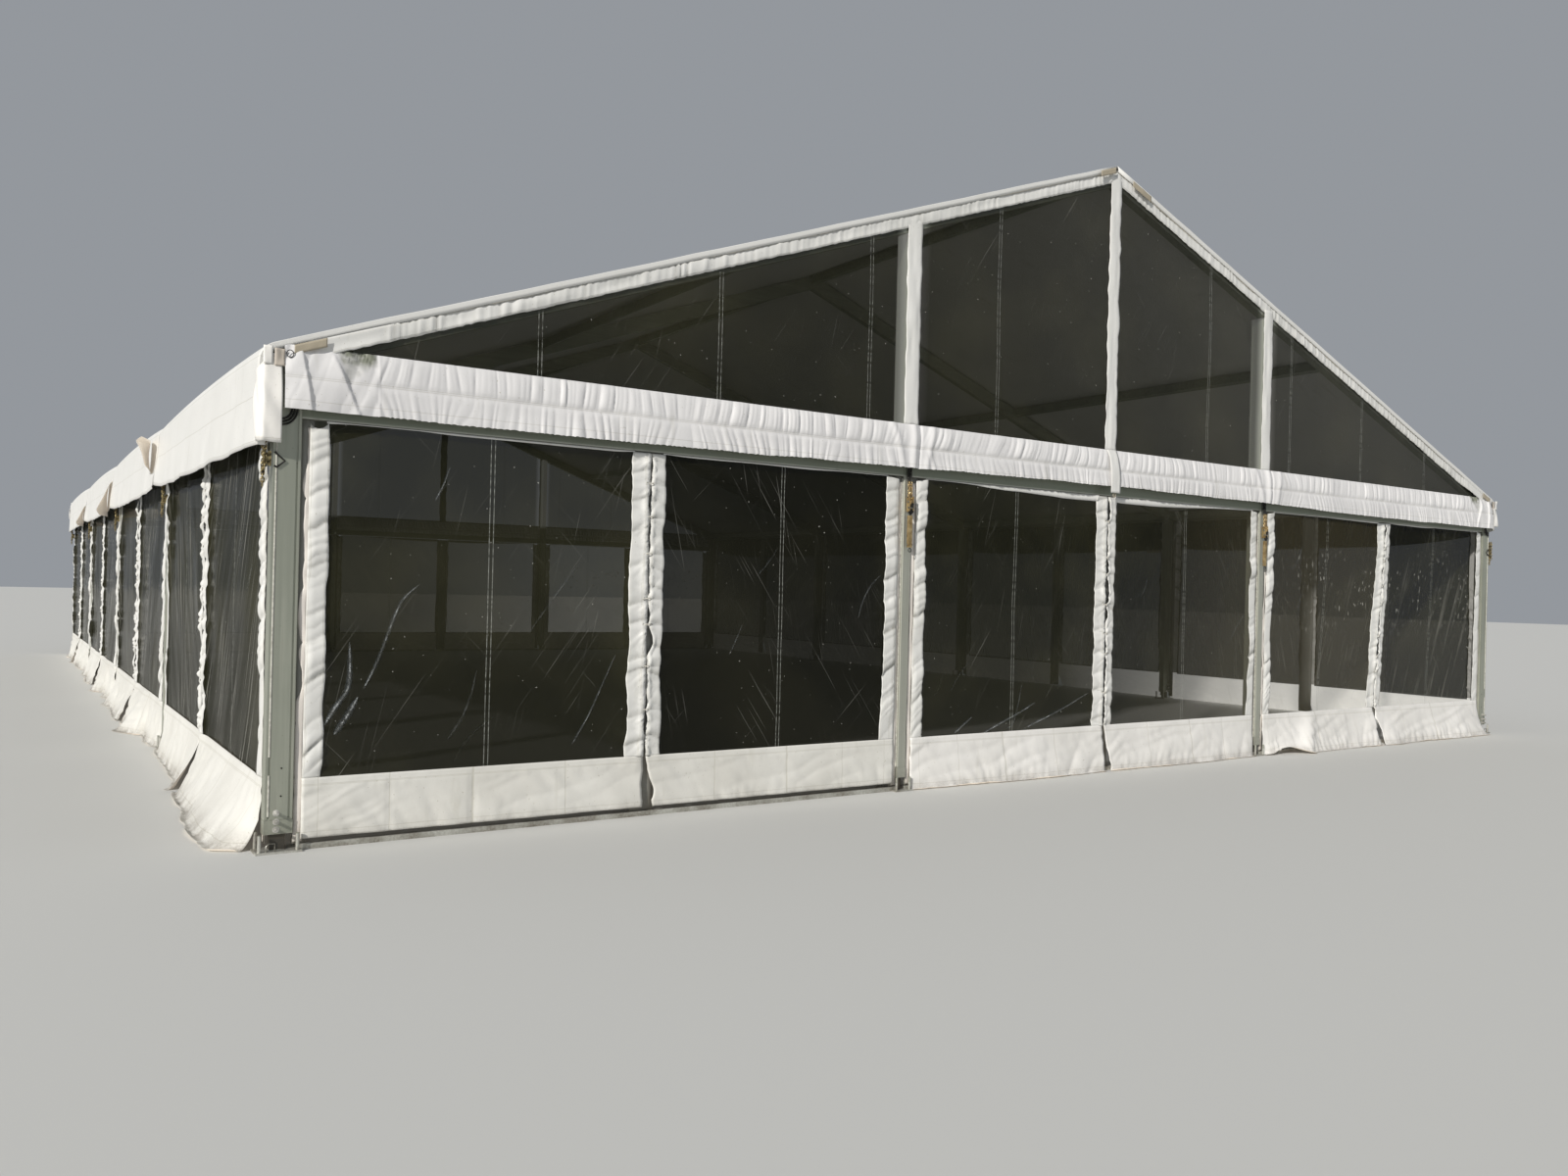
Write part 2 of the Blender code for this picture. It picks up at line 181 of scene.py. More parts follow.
def anodised(name, run_scale, foot=None, rail=False):
    """Clear anodised aluminium whose run marks are stretched along the profile.
    The hinge block of a foot, given as place and half length in X, is painted near black as shade in the
    gap under the shoe."""
    material, tree, shader = new_material(name, Metallic=0.55, Emission_Strength=0.20 if rail else 0.0)
    place = object_place(tree)
    axes = axes_of(tree, place)
    streak_noise = speckle(tree, stretched(tree, place, run_scale), 1.0, 6.0)
    clouds = speckle(tree, place, 2.4)
    tone = mixed(tree, faded(tree, streak_noise, 0.3, 0.7), ALUMINIUM_DARK, ALUMINIUM_PALE)
    tone = mixed(tree, faded(tree, clouds, 0.42, 0.75), tone, ALUMINIUM_DARK)
    drips_and_highlights = faded(tree, speckle(tree, stretched(tree, place, run_scale), 0.5, 2.0), 0.60, 0.72)
    tone = mixed(tree, times(tree, drips_and_highlights, 0.35), tone, ALUMINIUM_STAIN)
    spots = faded(tree, speckle(tree, place, 46.0, 2.0), 0.69, 0.76)
    tone = mixed(tree, times(tree, spots, 0.55), tone, ALUMINIUM_STAIN)
    if rail:
        tone = mixed(tree, 0.22, tone, RAIL_PALE)
        # Painted light: the framing above the valance glows, standing in for daylight.
        lit = mixed(tree, faded(tree, axes[2], *GLOW_RANGE), (0.0, 0.0, 0.0), RAIL_PAINTED_GLOW)
        tree.links.new(lit, shader.inputs["Emission Color"])
        # Painted shade: above the rail's underside the framing is painted dark green.
        shaded = times(tree, faded(tree, axes[2], RAIL_LOW - 0.01, RAIL_LOW), 0.85)
        tone = mixed(tree, shaded, tone, RAIL_PAINTED_SHADE)
        # Painted light: the base rail is painted paler, as if sunlit.
        low = times(tree, faded(tree, axes[2], BASE_RAIL_TOP + 0.005, BASE_RAIL_TOP), 0.55)
        tone = mixed(tree, low, tone, BASE_RAIL_PAINTED_LIGHT)
    if foot:
        middle, half_length = foot
        bottom, top = HINGE_RANGE
        off = calc(tree, "ABSOLUTE", calc(tree, "SUBTRACT", calc(tree, "ABSOLUTE", axes[0]), middle))
        under = faded(tree, axes[2], top + 0.002, top)
        block = times(tree, faded(tree, off, half_length + 0.004, half_length),
                      faded(tree, axes[2], bottom - 0.002, bottom), under)
        tone = mixed(tree, 0.0 if rail else times(tree, under, 0.6), tone, PLATED_SHOE)
        # Painted shade: the hinge block is painted near black.
        tone = mixed(tree, times(tree, block, 0.93), tone, HINGE_PAINTED_SHADE)
    colour = soiled(tree, place, tone, SOIL_TOP, 0.8)
    tree.links.new(colour, shader.inputs["Base Color"])
    rough = node(tree, "MapRange", {0: streak_noise, 3: 0.34, 4: 0.56}).outputs[0]
    tree.links.new(rough, shader.inputs["Roughness"])
    height = speckle(tree, stretched(tree, place, run_scale), 9.0, 3.0)
    bump = node(tree, "Bump", {"Height": height, "Strength": 0.12, "Distance": 0.001})
    tree.links.new(bump.outputs[0], shader.inputs["Normal"])
    return material


POST_AT = 2.5            # gable posts, from the middle of the gable
LEG_MIDDLE = (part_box("leg_right_1")[0].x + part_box("leg_right_1")[1].x) / 2
leg_metal = anodised("anodised_legs", (34.0, 34.0, 1.1), foot=(LEG_MIDDLE, 0.048))
post_metal = anodised("anodised_posts", (34.0, 34.0, 1.1), foot=(POST_AT, 0.030), rail=True)
roof_metal = anodised("anodised_roof", (1.1, 34.0, 34.0))


def finish_node(name, material):
    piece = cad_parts[name]
    piece.data.materials.clear()
    piece.data.materials.append(material)


leg_names = sorted(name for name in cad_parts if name.startswith("leg_"))
for name in leg_names:
    finish_node(name, leg_metal)
for name in ("gable_frame_front", "gable_frame_back"):
    finish_node(name, post_metal)
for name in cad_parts:
    if name.startswith("roof_frame_"):
        finish_node(name, roof_metal)


# Bolts of the leg feet
# Zinc plated hexagon bolts on washers clamp the shoe of each leg to its profile, and
# plugged holes above them take the bracing of other layouts.
BOLT_SIZES = {"Head Radius": 0.013, "Head Height": 0.011, "Washer Radius": 0.020,
              "Washer Thickness": 0.003, "Stud Radius": 0.0095, "Stud Length": 0.046}
HOLE_SIZES = {"Head Radius": 0.004, "Head Height": 0.001, "Washer Radius": 0.0055,
              "Washer Thickness": 0.002, "Stud Radius": 0.002, "Stud Length": 0.0014}
BOLT_HEIGHTS = (0.139, 0.186, 0.239)
HOLE_HEIGHTS = (0.34, 0.51)
BOLT_IN = 0.070          # from the outer face of the leg to the row of bolts
HOLE_IN = 0.095


def metal(name, colour, dark, roughness, scale=30.0, shine=0.85):
    """Small plated or painted fittings, dulled in patches."""
    material, tree, shader = new_material(name, Metallic=shine)
    place = object_place(tree)
    patches = faded(tree, speckle(tree, place, scale), 0.35, 0.65)
    tree.links.new(mixed(tree, patches, dark, colour), shader.inputs["Base Color"])
    rough = node(tree, "MapRange", {0: patches, 3: roughness + 0.2, 4: roughness}).outputs[0]
    tree.links.new(rough, shader.inputs["Roughness"])
    grain = speckle(tree, place, 6 * scale)
    bump = node(tree, "Bump", {"Height": grain, "Strength": 0.2, "Distance": 0.0008})
    tree.links.new(bump.outputs[0], shader.inputs["Normal"])
    return material


zinc = metal("zinc_plate", (0.46, 0.45, 0.41), (0.17, 0.16, 0.13), 0.34)
bright_zinc = metal("bright_zinc", (0.70, 0.69, 0.65), (0.34, 0.33, 0.30), 0.30, shine=0.45)
black_steel = metal("black_steel", (0.035, 0.033, 0.03), (0.012, 0.011, 0.01), 0.42, shine=0.5)


def repeat_tree(name, sizes, make_item):
    """Geometry Nodes tree that sets one item on each point, turned to the point's axes."""
    tree = bpy.data.node_groups.new(name, "GeometryNodeTree")
    sockets = [("Points", "Geometry")] + [(label, "Float") for label in sizes] + [("Material", "Material")]
    for label, kind in sockets:
        tree.interface.new_socket(name=label, in_out="INPUT", socket_type="NodeSocket" + kind)
    tree.interface.new_socket(name="Geometry", in_out="OUTPUT", socket_type="NodeSocketGeometry")
    source = tree.nodes.new("NodeGroupInput")
    sink = tree.nodes.new("NodeGroupOutput")

    def add(kind, inputs=None, **settings):
        made = tree.nodes.new(kind)
        for key, value in settings.items():
            setattr(made, key, value)
        for key, value in (inputs or {}).items():
            if isinstance(value, bpy.types.NodeSocket):
                tree.links.new(value, made.inputs[key])
            else:
                made.inputs[key].default_value = value
        return made

    item = make_item(add, source)
    facing = add("GeometryNodeInputNamedAttribute", {"Name": "facing"}, data_type="FLOAT_VECTOR")
    across = add("GeometryNodeInputNamedAttribute", {"Name": "across"}, data_type="FLOAT_VECTOR")
    turned = add("FunctionNodeAlignRotationToVector", {"Vector": facing.outputs[0]}, axis="Z")
    rolled = add("FunctionNodeAlignRotationToVector",
                 {"Rotation": turned.outputs[0], "Vector": across.outputs[0]}, axis="X", pivot_axis="Z")
    spread = add("GeometryNodeInstanceOnPoints",
                 {"Points": source.outputs["Points"], "Instance": item, "Rotation": rolled.outputs[0]})
    real = add("GeometryNodeRealizeInstances", {0: spread.outputs[0]})
    dressed = add("GeometryNodeSetMaterial", {0: real.outputs[0], "Material": source.outputs["Material"]})
    tree.links.new(dressed.outputs[0], sink.inputs[0])
    return tree


def link_up(piece):
    bpy.context.scene.collection.objects.link(piece)
    return piece


def repeated(name, tree, points, facing, across, material, sizes):
    """Plain mesh of the tree's item at each point, with its Z along facing and X across."""
    mesh = bpy.data.meshes.new(name)
    mesh.from_pydata([tuple(point) for point in points], [], [])
    for label, vectors in (("facing", facing), ("across", across)):
        layer = mesh.attributes.new(label, "FLOAT_VECTOR", "POINT")
        layer.data.foreach_set("vector", np.array(vectors, np.float32).ravel())
    piece = link_up(bpy.data.objects.new(name, mesh))
    modifier = piece.modifiers.new("build", "NODES")
    modifier.node_group = tree
    values = dict(sizes, Material=material)
    for socket in tree.interface.items_tree:
        if socket.in_out == "INPUT" and socket.name in values:
            modifier[socket.identifier] = values[socket.name]
    graph = bpy.context.evaluated_depsgraph_get()
    built = bpy.data.meshes.new_from_object(piece.evaluated_get(graph))
    piece.modifiers.clear()
    piece.data = built
    for label in ("facing", "across"):
        if label in built.attributes:
            built.attributes.remove(built.attributes[label])
    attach(piece, "root")
    return piece


def bolt_item(add, source):
    joined = add("GeometryNodeJoinGeometry")
    for part, sides, length in (("Washer", 18, "Thickness"), ("Head", 6, "Height"), ("Stud", 10, "Length")):
        tall = source.outputs[f"{part} {length}"]
        solid = add("GeometryNodeMeshCylinder",
                    {"Vertices": sides, "Radius": source.outputs[f"{part} Radius"], "Depth": tall})
        if part != "Washer":
            lift = add("ShaderNodeMath", {0: tall, 1: 0.5}, operation="MULTIPLY")
            up = add("ShaderNodeCombineXYZ", {2: lift.outputs[0]})
            solid = add("GeometryNodeTransform", {0: solid.outputs[0], "Translation": up.outputs[0]})
        joined.id_data.links.new(solid.outputs[0], joined.inputs[0])     # one socket takes all links
    return joined.outputs[0]


def leg_place(name):
    """Side of the tent, outer face, middle and half width along Y of a leg's profile."""
    low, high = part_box(name)
    side = -1 if "left" in name else 1
    outer = low.x + PLATE_PROUD if side < 0 else high.x - PLATE_PROUD
    return side, outer, (low.y + high.y) / 2, (high.y - low.y) / 2 - PLATE_PROUD


bolt_tree = repeat_tree("bolt_row", BOLT_SIZES, bolt_item)
for piece_name, inwards, heights, material, sizes in (
        ("foot_bolts", BOLT_IN, BOLT_HEIGHTS, bright_zinc, BOLT_SIZES),
        ("profile_holes", HOLE_IN, HOLE_HEIGHTS, black_steel, HOLE_SIZES)):
    points, facing = [], []
    for name in leg_names:
        side, outer, middle_y, half_width = leg_place(name)
        for toward in (-1, 1):
            for height in heights:
                points.append((outer - side * inwards, middle_y + toward * half_width, height))
                facing.append((0, toward, 0))
    piece = repeated(piece_name, bolt_tree, points, facing, [(0, 0, 1)] * len(points), material, sizes)


# Roof covers and side valances
# One sheet of white PVC coated polyester a bay, pulled through the rafters' grooves,
# folded over the eave purlin and left hanging as a valance with a welded seam.
PVC_WHITE = (0.765, 0.76, 0.735)
PVC_SHADE = (0.665, 0.665, 0.63)
PVC_GRIME = (0.36, 0.34, 0.25)
# Painted shade: the default green-grey laid into the crumpled hollows of the valances.
PVC_HOLLOW_SHADE = (0.20, 0.21, 0.165)
SHEET_THICKNESS = 0.0016
ROOF_SAG = 0.035
PURLIN_PITCH = 3.75
PITCH = math.radians(20.0)
EAVE_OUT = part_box("roof_cover_1")[1].x
EAVE_RADIUS = 0.13
VALANCE_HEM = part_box("roof_cover_1")[0].z
ROOF_LIFT = 0.014        # over the rafters, as the edge rope sits in its groove
BAY_STEPS = 70
SLOPE_STEPS = 34
ROUND_STEPS = 8
DROP_STEPS = 16
DRAWN_UP = 0.22          # hem of the valance at the right corners, over the left ones
EDGE_FOLDS = (0.004, 0.023, 0.047)   # edge of the cover, turned down over the gable rafter
GABLE_OVERHANG = 0.066
FAR = 9.0                # distance that is clear of every seam and joint
SHADE_PAINT_FROM = 20.0        # seam distances from here to 21 are painted shade from none to full


def dice(i, j, seed):
    """Repeatable numbers from -1 to 1 at whole places i, j."""
    mix = (np.asarray(i).astype(np.int64) * 374761393 + np.asarray(j).astype(np.int64) * 668265263
           + seed * 974634777) & 0xFFFFFFFF
    mix = ((mix ^ (mix >> 13)) * 1274126177) & 0xFFFFFFFF
    return (mix ^ (mix >> 16)) / 2147483647.5 - 1.0


def ripple(x, y, seed):
    """Smooth noise from -1 to 1 with cells of one unit."""
    x, y = np.broadcast_arrays(np.asarray(x, float), np.asarray(y, float))
    i, j = np.floor(x), np.floor(y)
    u, v = x - i, y - j
    u, v = u * u * (3 - 2 * u), v * v * (3 - 2 * v)
    low = dice(i, j, seed) * (1 - u) + dice(i + 1, j, seed) * u
    high = dice(i, j + 1, seed) * (1 - u) + dice(i + 1, j + 1, seed) * u
    return low * (1 - v) + high * v


def fold_edge(k, pitch, seed):
    return (k + 0.36 * dice(k, 3, seed)) * pitch


def fold_share(t, pitch, seed):
    """Number of the fold at t, and the share of the way through it."""
    k = np.floor(t / pitch)
    k = np.where(t < fold_edge(k, pitch, seed), k - 1, k)
    k = np.where(t >= fold_edge(k + 1, pitch, seed), k + 1, k)
    low, high = fold_edge(k, pitch, seed), fold_edge(k + 1, pitch, seed)
    return k, np.clip((t - low) / (high - low), 0, 1)


def folds(t, pitch, seed, round_top=0.65):
    """Soft folds from 0 to 1 along t: round tops, sharp valleys, uneven widths and heights."""
    k, share = fold_share(t, pitch, seed)
    return (0.68 + 0.32 * dice(k, 8, seed)) * (4 * share * (1 - share)) ** round_top


def valleys(t, pitch, seed):
    """Painted shade in the valleys of the same folds: sharp below, fading out above."""
    k, share = fold_share(t, pitch, seed)
    above = (0.62 + 0.38 * dice(k, 8, seed)) * np.exp(-share / 0.11)
    below = (0.62 + 0.38 * dice(k + 1, 8, seed)) * np.exp(-(1 - share) / 0.03)
    return np.maximum(above, below)


def eased(value, low, high):
    share = np.clip((value - low) / (high - low), 0, 1)
    return share * share * (3 - 2 * share)


def bump_at(value, middle, width):
    return np.exp(-((value - middle) / width) ** 2)


def sewn(name, patches, material, thickness=SHEET_THICKNESS, marked=None):
    """One piece from patches of cloth: rows by columns of places, flat UVs and seam distances.
    A patch with a fourth item takes the marked material."""
    places, flats, seams, faces, slots, first = [], [], [], [], [], 0
    for grid, flat, seam, *mark in patches:
        rows, columns = grid.shape[:2]
        index = first + np.arange(rows * columns).reshape(rows, columns)
        quads = np.stack([index[:-1, :-1], index[:-1, 1:], index[1:, 1:], index[1:, :-1]], -1)
        faces.append(quads.reshape(-1, 4))
        slots += [len(mark)] * len(faces[-1])
        places.append(grid.reshape(-1, 3))
        flats.append(flat.reshape(-1, 2))
        seams.append(seam.reshape(-1, 2))
        first += rows * columns
    faces = np.concatenate(faces)
    mesh = bpy.data.meshes.new(name)
    mesh.from_pydata(np.concatenate(places).tolist(), [], faces.tolist())
    for label, values in (("UVMap", flats), ("seams", seams)):
        layer = mesh.uv_layers.new(name=label)
        layer.uv.foreach_set("vector", np.concatenate(values)[faces.ravel()].astype(np.float32).ravel())
    mesh.polygons.foreach_set("use_smooth", [True] * len(faces))
    mesh.materials.append(material)
    if marked:
        mesh.materials.append(marked)
        mesh.polygons.foreach_set("material_index", slots)
    piece = link_up(bpy.data.objects.new(name, mesh))
    if thickness:
        wall = piece.modifiers.new("cloth", "SOLIDIFY")
        wall.thickness = thickness
        wall.offset = -1.0
    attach(piece, "root")
    return piece


def stacked(*layers):
    return np.stack(np.broadcast_arrays(*layers), -1).astype(float)


def seamless(like):
    return stacked(FAR + 0 * like, FAR + 0 * like)


def facing_out(patch, flip):
    grid, flat, seam = patch
    return (grid[:, ::-1], flat[:, ::-1], seam[:, ::-1]) if flip else patch


def line_group():
    """A welded or stitched line: 1 on the line, 0 a little way off it."""
    sockets = [("Distance", "Float"), ("Place", "Float"), ("Half Width", "Float")]
    group, source, sink = shader_group("seam_line", sockets, [("Mask", "Float")])
    away = calc(group, "ABSOLUTE", calc(group, "SUBTRACT", source.outputs["Distance"],
                                        source.outputs["Place"]))
    share = calc(group, "DIVIDE", away, source.outputs["Half Width"])
    mask = node(group, "MapRange", {0: share, 1: 1.0, 2: 0.4, 3: 0.0, 4: 1.0}).outputs[0]
    group.links.new(mask, sink.inputs["Mask"])
    return group


seam_line = line_group()


def seam_mask(tree, distance, place, half_width):
    made = node(tree, "Group", node_tree=seam_line)
    tree.links.new(distance, made.inputs["Distance"])
    made.inputs["Place"].default_value = place
    made.inputs["Half Width"].default_value = half_width
    return made.outputs["Mask"]


def pvc(name, white=PVC_WHITE, shade=PVC_SHADE, across=(), up=(), soil_top=0.0, soil=0.0,
        shade_paint=PVC_HOLLOW_SHADE, clouding=0.7, glow=0.0, glow_run=None):
    """PVC coated cloth; across and up list its seams as (distance, half width). Glow is
    painted light: the cloth emits its own white in place of the daylight that comes through it,
    full at the first place of its run in Y and down to a share of it at the second. High seam distances lay
    painted shade in the colour given for it."""
    material, tree, shader = new_material(name, IOR=1.46, Emission_Color=(*white, 1.0),
                                          Emission_Strength=glow)
    place = object_place(tree)
    flat = uv_place(tree)
    seams = axes_of(tree, uv_place(tree, "seams"))
    lines = 0.0
    for axis, listed in ((0, across), (1, up)):
        for distance, half_width in listed:
            lines = calc(tree, "MAXIMUM", seam_mask(tree, seams[axis], distance, half_width), lines)
    clouds = faded(tree, speckle(tree, place, 1.7, 6.0), 0.4, 0.72)
    tone = mixed(tree, times(tree, clouds, clouding), white, shade)
    # Painted light: the glow fades along Y like a pool of daylight.
    if glow_run:
        full, least, share = glow_run
        lit = mixed(tree, faded(tree, axes_of(tree, place)[1], least, full),
                    tuple(share * part for part in white), white)
        tree.links.new(lit, shader.inputs["Emission Color"])
    stains = faded(tree, speckle(tree, stretched(tree, flat, (9.0, 1.6, 1.0)), 1.0, 5.0), 0.62, 0.8)
    tone = mixed(tree, times(tree, stains, 0.3), tone, PVC_GRIME)
    specks = faded(tree, speckle(tree, place, 60.0, 1.0), 0.735, 0.775)
    tone = mixed(tree, times(tree, specks, 0.5), tone, PVC_GRIME)
    # Painted shade: high seam distances mix in the shade colour given, broken up by noise.
    shade_painted = calc(tree, "MAXIMUM",
                   *(faded(tree, seams[axis], SHADE_PAINT_FROM, SHADE_PAINT_FROM + 1) for axis in (0, 1)))
    shade_painted = times(tree, shade_painted, faded(tree, speckle(tree, flat, 14.0, 4.0), 0.18, 0.52))
    tone = mixed(tree, shade_painted, tone, shade_paint)
    if lines != 0.0:
        tone = mixed(tree, times(tree, lines, 0.32), tone, PVC_GRIME)
    colour = soiled(tree, place, tone, soil_top, soil)
    tree.links.new(colour, shader.inputs["Base Color"])
    rough = node(tree, "MapRange", {0: speckle(tree, place, 8.0), 3: 0.36, 4: 0.56}).outputs[0]
    tree.links.new(rough, shader.inputs["Roughness"])
    crinkle = speckle(tree, flat, 26.0, 3.0)
    weave = node(tree, "TexWave", {"Vector": flat, "Scale": 260.0, "Distortion": 0.6}).outputs[1]
    height = calc(tree, "ADD", crinkle, times(tree, weave, 0.03))
    if lines != 0.0:
        height = calc(tree, "SUBTRACT", height, times(tree, lines, 0.5))
    bump = node(tree, "Bump", {"Height": height, "Strength": 0.35, "Distance": 0.003})
    tree.links.new(bump.outputs[0], shader.inputs["Normal"])
    return material


roof_pvc = pvc("pvc_roof", up=((0.025, 0.003), (0.29, 0.004), (0.52, 0.004)),
               across=((0.03, 0.004),), clouding=0.35)
RIDGE_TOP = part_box("roof_frame_1")[1].z
LEG_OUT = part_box("roof_frame_1")[1].x    # outer faces of the legs, under the rafter ends
FRAME_Y = [leg_place(f"leg_left_{n}")[2] for n in range(1, 6)]


def ridge_height(x):
    """Top of the rafters at a distance from the middle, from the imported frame's ridge."""
    return RIDGE_TOP - np.abs(x) * math.tan(PITCH)


def cover_section():
    """Hem to ridge: distance out from the middle, height, slant of the surface and run."""
    drop = np.linspace(0, 1, DROP_STEPS)
    turn = np.linspace(0, 1, ROUND_STEPS + 1)[1:]
    slope = np.linspace(0, 1, SLOPE_STEPS + 1)[1:]
    centre = EAVE_OUT - EAVE_RADIUS
    round_z = ridge_height(centre) + ROOF_LIFT - EAVE_RADIUS / math.cos(PITCH)
    angle = turn * (math.pi / 2 - PITCH)
    top_out = centre + EAVE_RADIUS * math.cos(angle[-1])
    top_z = round_z + EAVE_RADIUS * math.sin(angle[-1])
    out = np.concatenate([EAVE_OUT + 0 * drop, centre + EAVE_RADIUS * np.cos(angle), top_out * (1 - slope)])
    up = np.concatenate([VALANCE_HEM + (round_z - VALANCE_HEM) * drop,
                         round_z + EAVE_RADIUS * np.sin(angle),
                         top_z + (RIDGE_TOP + ROOF_LIFT - top_z) * slope])
    slant = np.concatenate([0 * drop, angle, math.pi / 2 - PITCH + 0 * slope])
    steps = np.hypot(np.diff(out), np.diff(up))
    return out, up, slant, np.concatenate([[0], np.cumsum(steps)])


def roof_half(number, side, y0, y1):
    """Patch of one slope of one bay with its valance, hem to ridge."""
    seed = 40 + 2 * number + (side > 0)
    out, up, slant, run = (values[:, None] for values in cover_section())
    y = np.linspace(y0, y1, BAY_STEPS)
    lower = np.zeros(BAY_STEPS)
    if number == 1:
        y, lower = np.append(np.full(len(EDGE_FOLDS), y0), y), np.append(EDGE_FOLDS[::-1], lower)
    if number == 4:
        y, lower = np.append(y, np.full(len(EDGE_FOLDS), y1)), np.append(lower, EDGE_FOLDS)
    y, lower = y[None, :], lower[None, :]
    share = (y - y0) / (y1 - y0)
    joint = np.minimum(y - y0 + FAR * (number == 1), y1 - y + FAR * (number == 4))
    hang = 1 - eased(run, 0.0, run[DROP_STEPS])     # 1 at the hem, 0 at the eave
    # Valance: bulges between the frames, flares at the joints, creases down from the eave
    swell = 0.030 * np.sin(math.pi * share) ** 0.8 * hang ** 0.9
    swell = swell + 0.035 * bump_at(joint, 0.0, 0.22) * hang ** 1.3
    swell = swell + 0.014 * folds(y + 0.35 * run, 0.42, seed + 3) * hang
    swell = swell + 0.007 * ripple((y + 0.5 * run) / 0.16, run / 0.5, seed + 5) * hang
    hem = 0.008 * ripple(y / 0.5, 0, seed) + 0.055 * np.exp(-joint / 0.5) - 0.015
    if side > 0:
        drawn = np.exp(-(y - y0) / 0.7) * (number == 1) + np.exp(-(y1 - y) / 0.7) * (number == 4)
        hem = hem + DRAWN_UP * drawn
    # Slope: rests on purlins and rafters, sags a little between them
    away = np.minimum(y - y0, y1 - y)
    sloped = eased(run, run[DROP_STEPS], run[DROP_STEPS + ROUND_STEPS + 2])
    sag = ROOF_SAG * np.abs(np.sin(math.pi * out / PURLIN_PITCH)) * np.sin(math.pi * share)
    pull = 0.006 * np.exp(-away / 0.35) * folds(out, 0.24, seed + 7) * np.minimum(1, out / 0.2)
    lift = swell + (pull - sag) * sloped - lower
    x = out + lift * np.cos(slant)
    arch = 0.042 * np.sin(math.pi * share) ** 0.7 * bump_at(run, run[DROP_STEPS + ROUND_STEPS // 2], 0.30)
    z = up + lift * np.sin(slant) + hem * hang + arch
    edge = np.minimum(away + FAR * (lower > 0), FAR)
    return facing_out((stacked(side * x, y, z), stacked(y, run), stacked(edge, run)), side < 0)


for number in range(1, 5):
    y0, y1 = FRAME_Y[number - 1], FRAME_Y[number]
    y0 -= GABLE_OVERHANG if number == 1 else 0
    y1 += GABLE_OVERHANG if number == 4 else 0
    cover = sewn(f"roof_sheet_{number}", [roof_half(number, side, y0, y1) for side in (-1, 1)], roof_pvc)
    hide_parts(f"roof_cover_{number}")


# Clear gable triangles
# Clear PVC film welded from strips, tensioned between the rafters and the valance.
# Painted shade: the film is near black and mostly opaque, for the dim inside seen through it.
FILM_DARK = (0.0125, 0.0125, 0.0055)
FILM_HAZE = (0.088, 0.083, 0.044)
FILM_MIST = (0.125, 0.107, 0.06)
FILM_WELD = (0.34, 0.35, 0.32)
FILM_SCRATCH_AND_HIGHLIGHT = (0.64, 0.63, 0.575)
GABLE_ALPHA = 0.62
GABLE_WELDS = (1.5, 2.95, 4.38, 5.81)    # welds between the strips, from the middle
GABLE_BASE = 3.06
GABLE_REACH = 7.25
WELD_HALF = 0.014
RAFTER_SHOW = 0.03       # rafter left bare above the band
BAND_HEIGHT = 0.11
GABLES = ("front", "back")


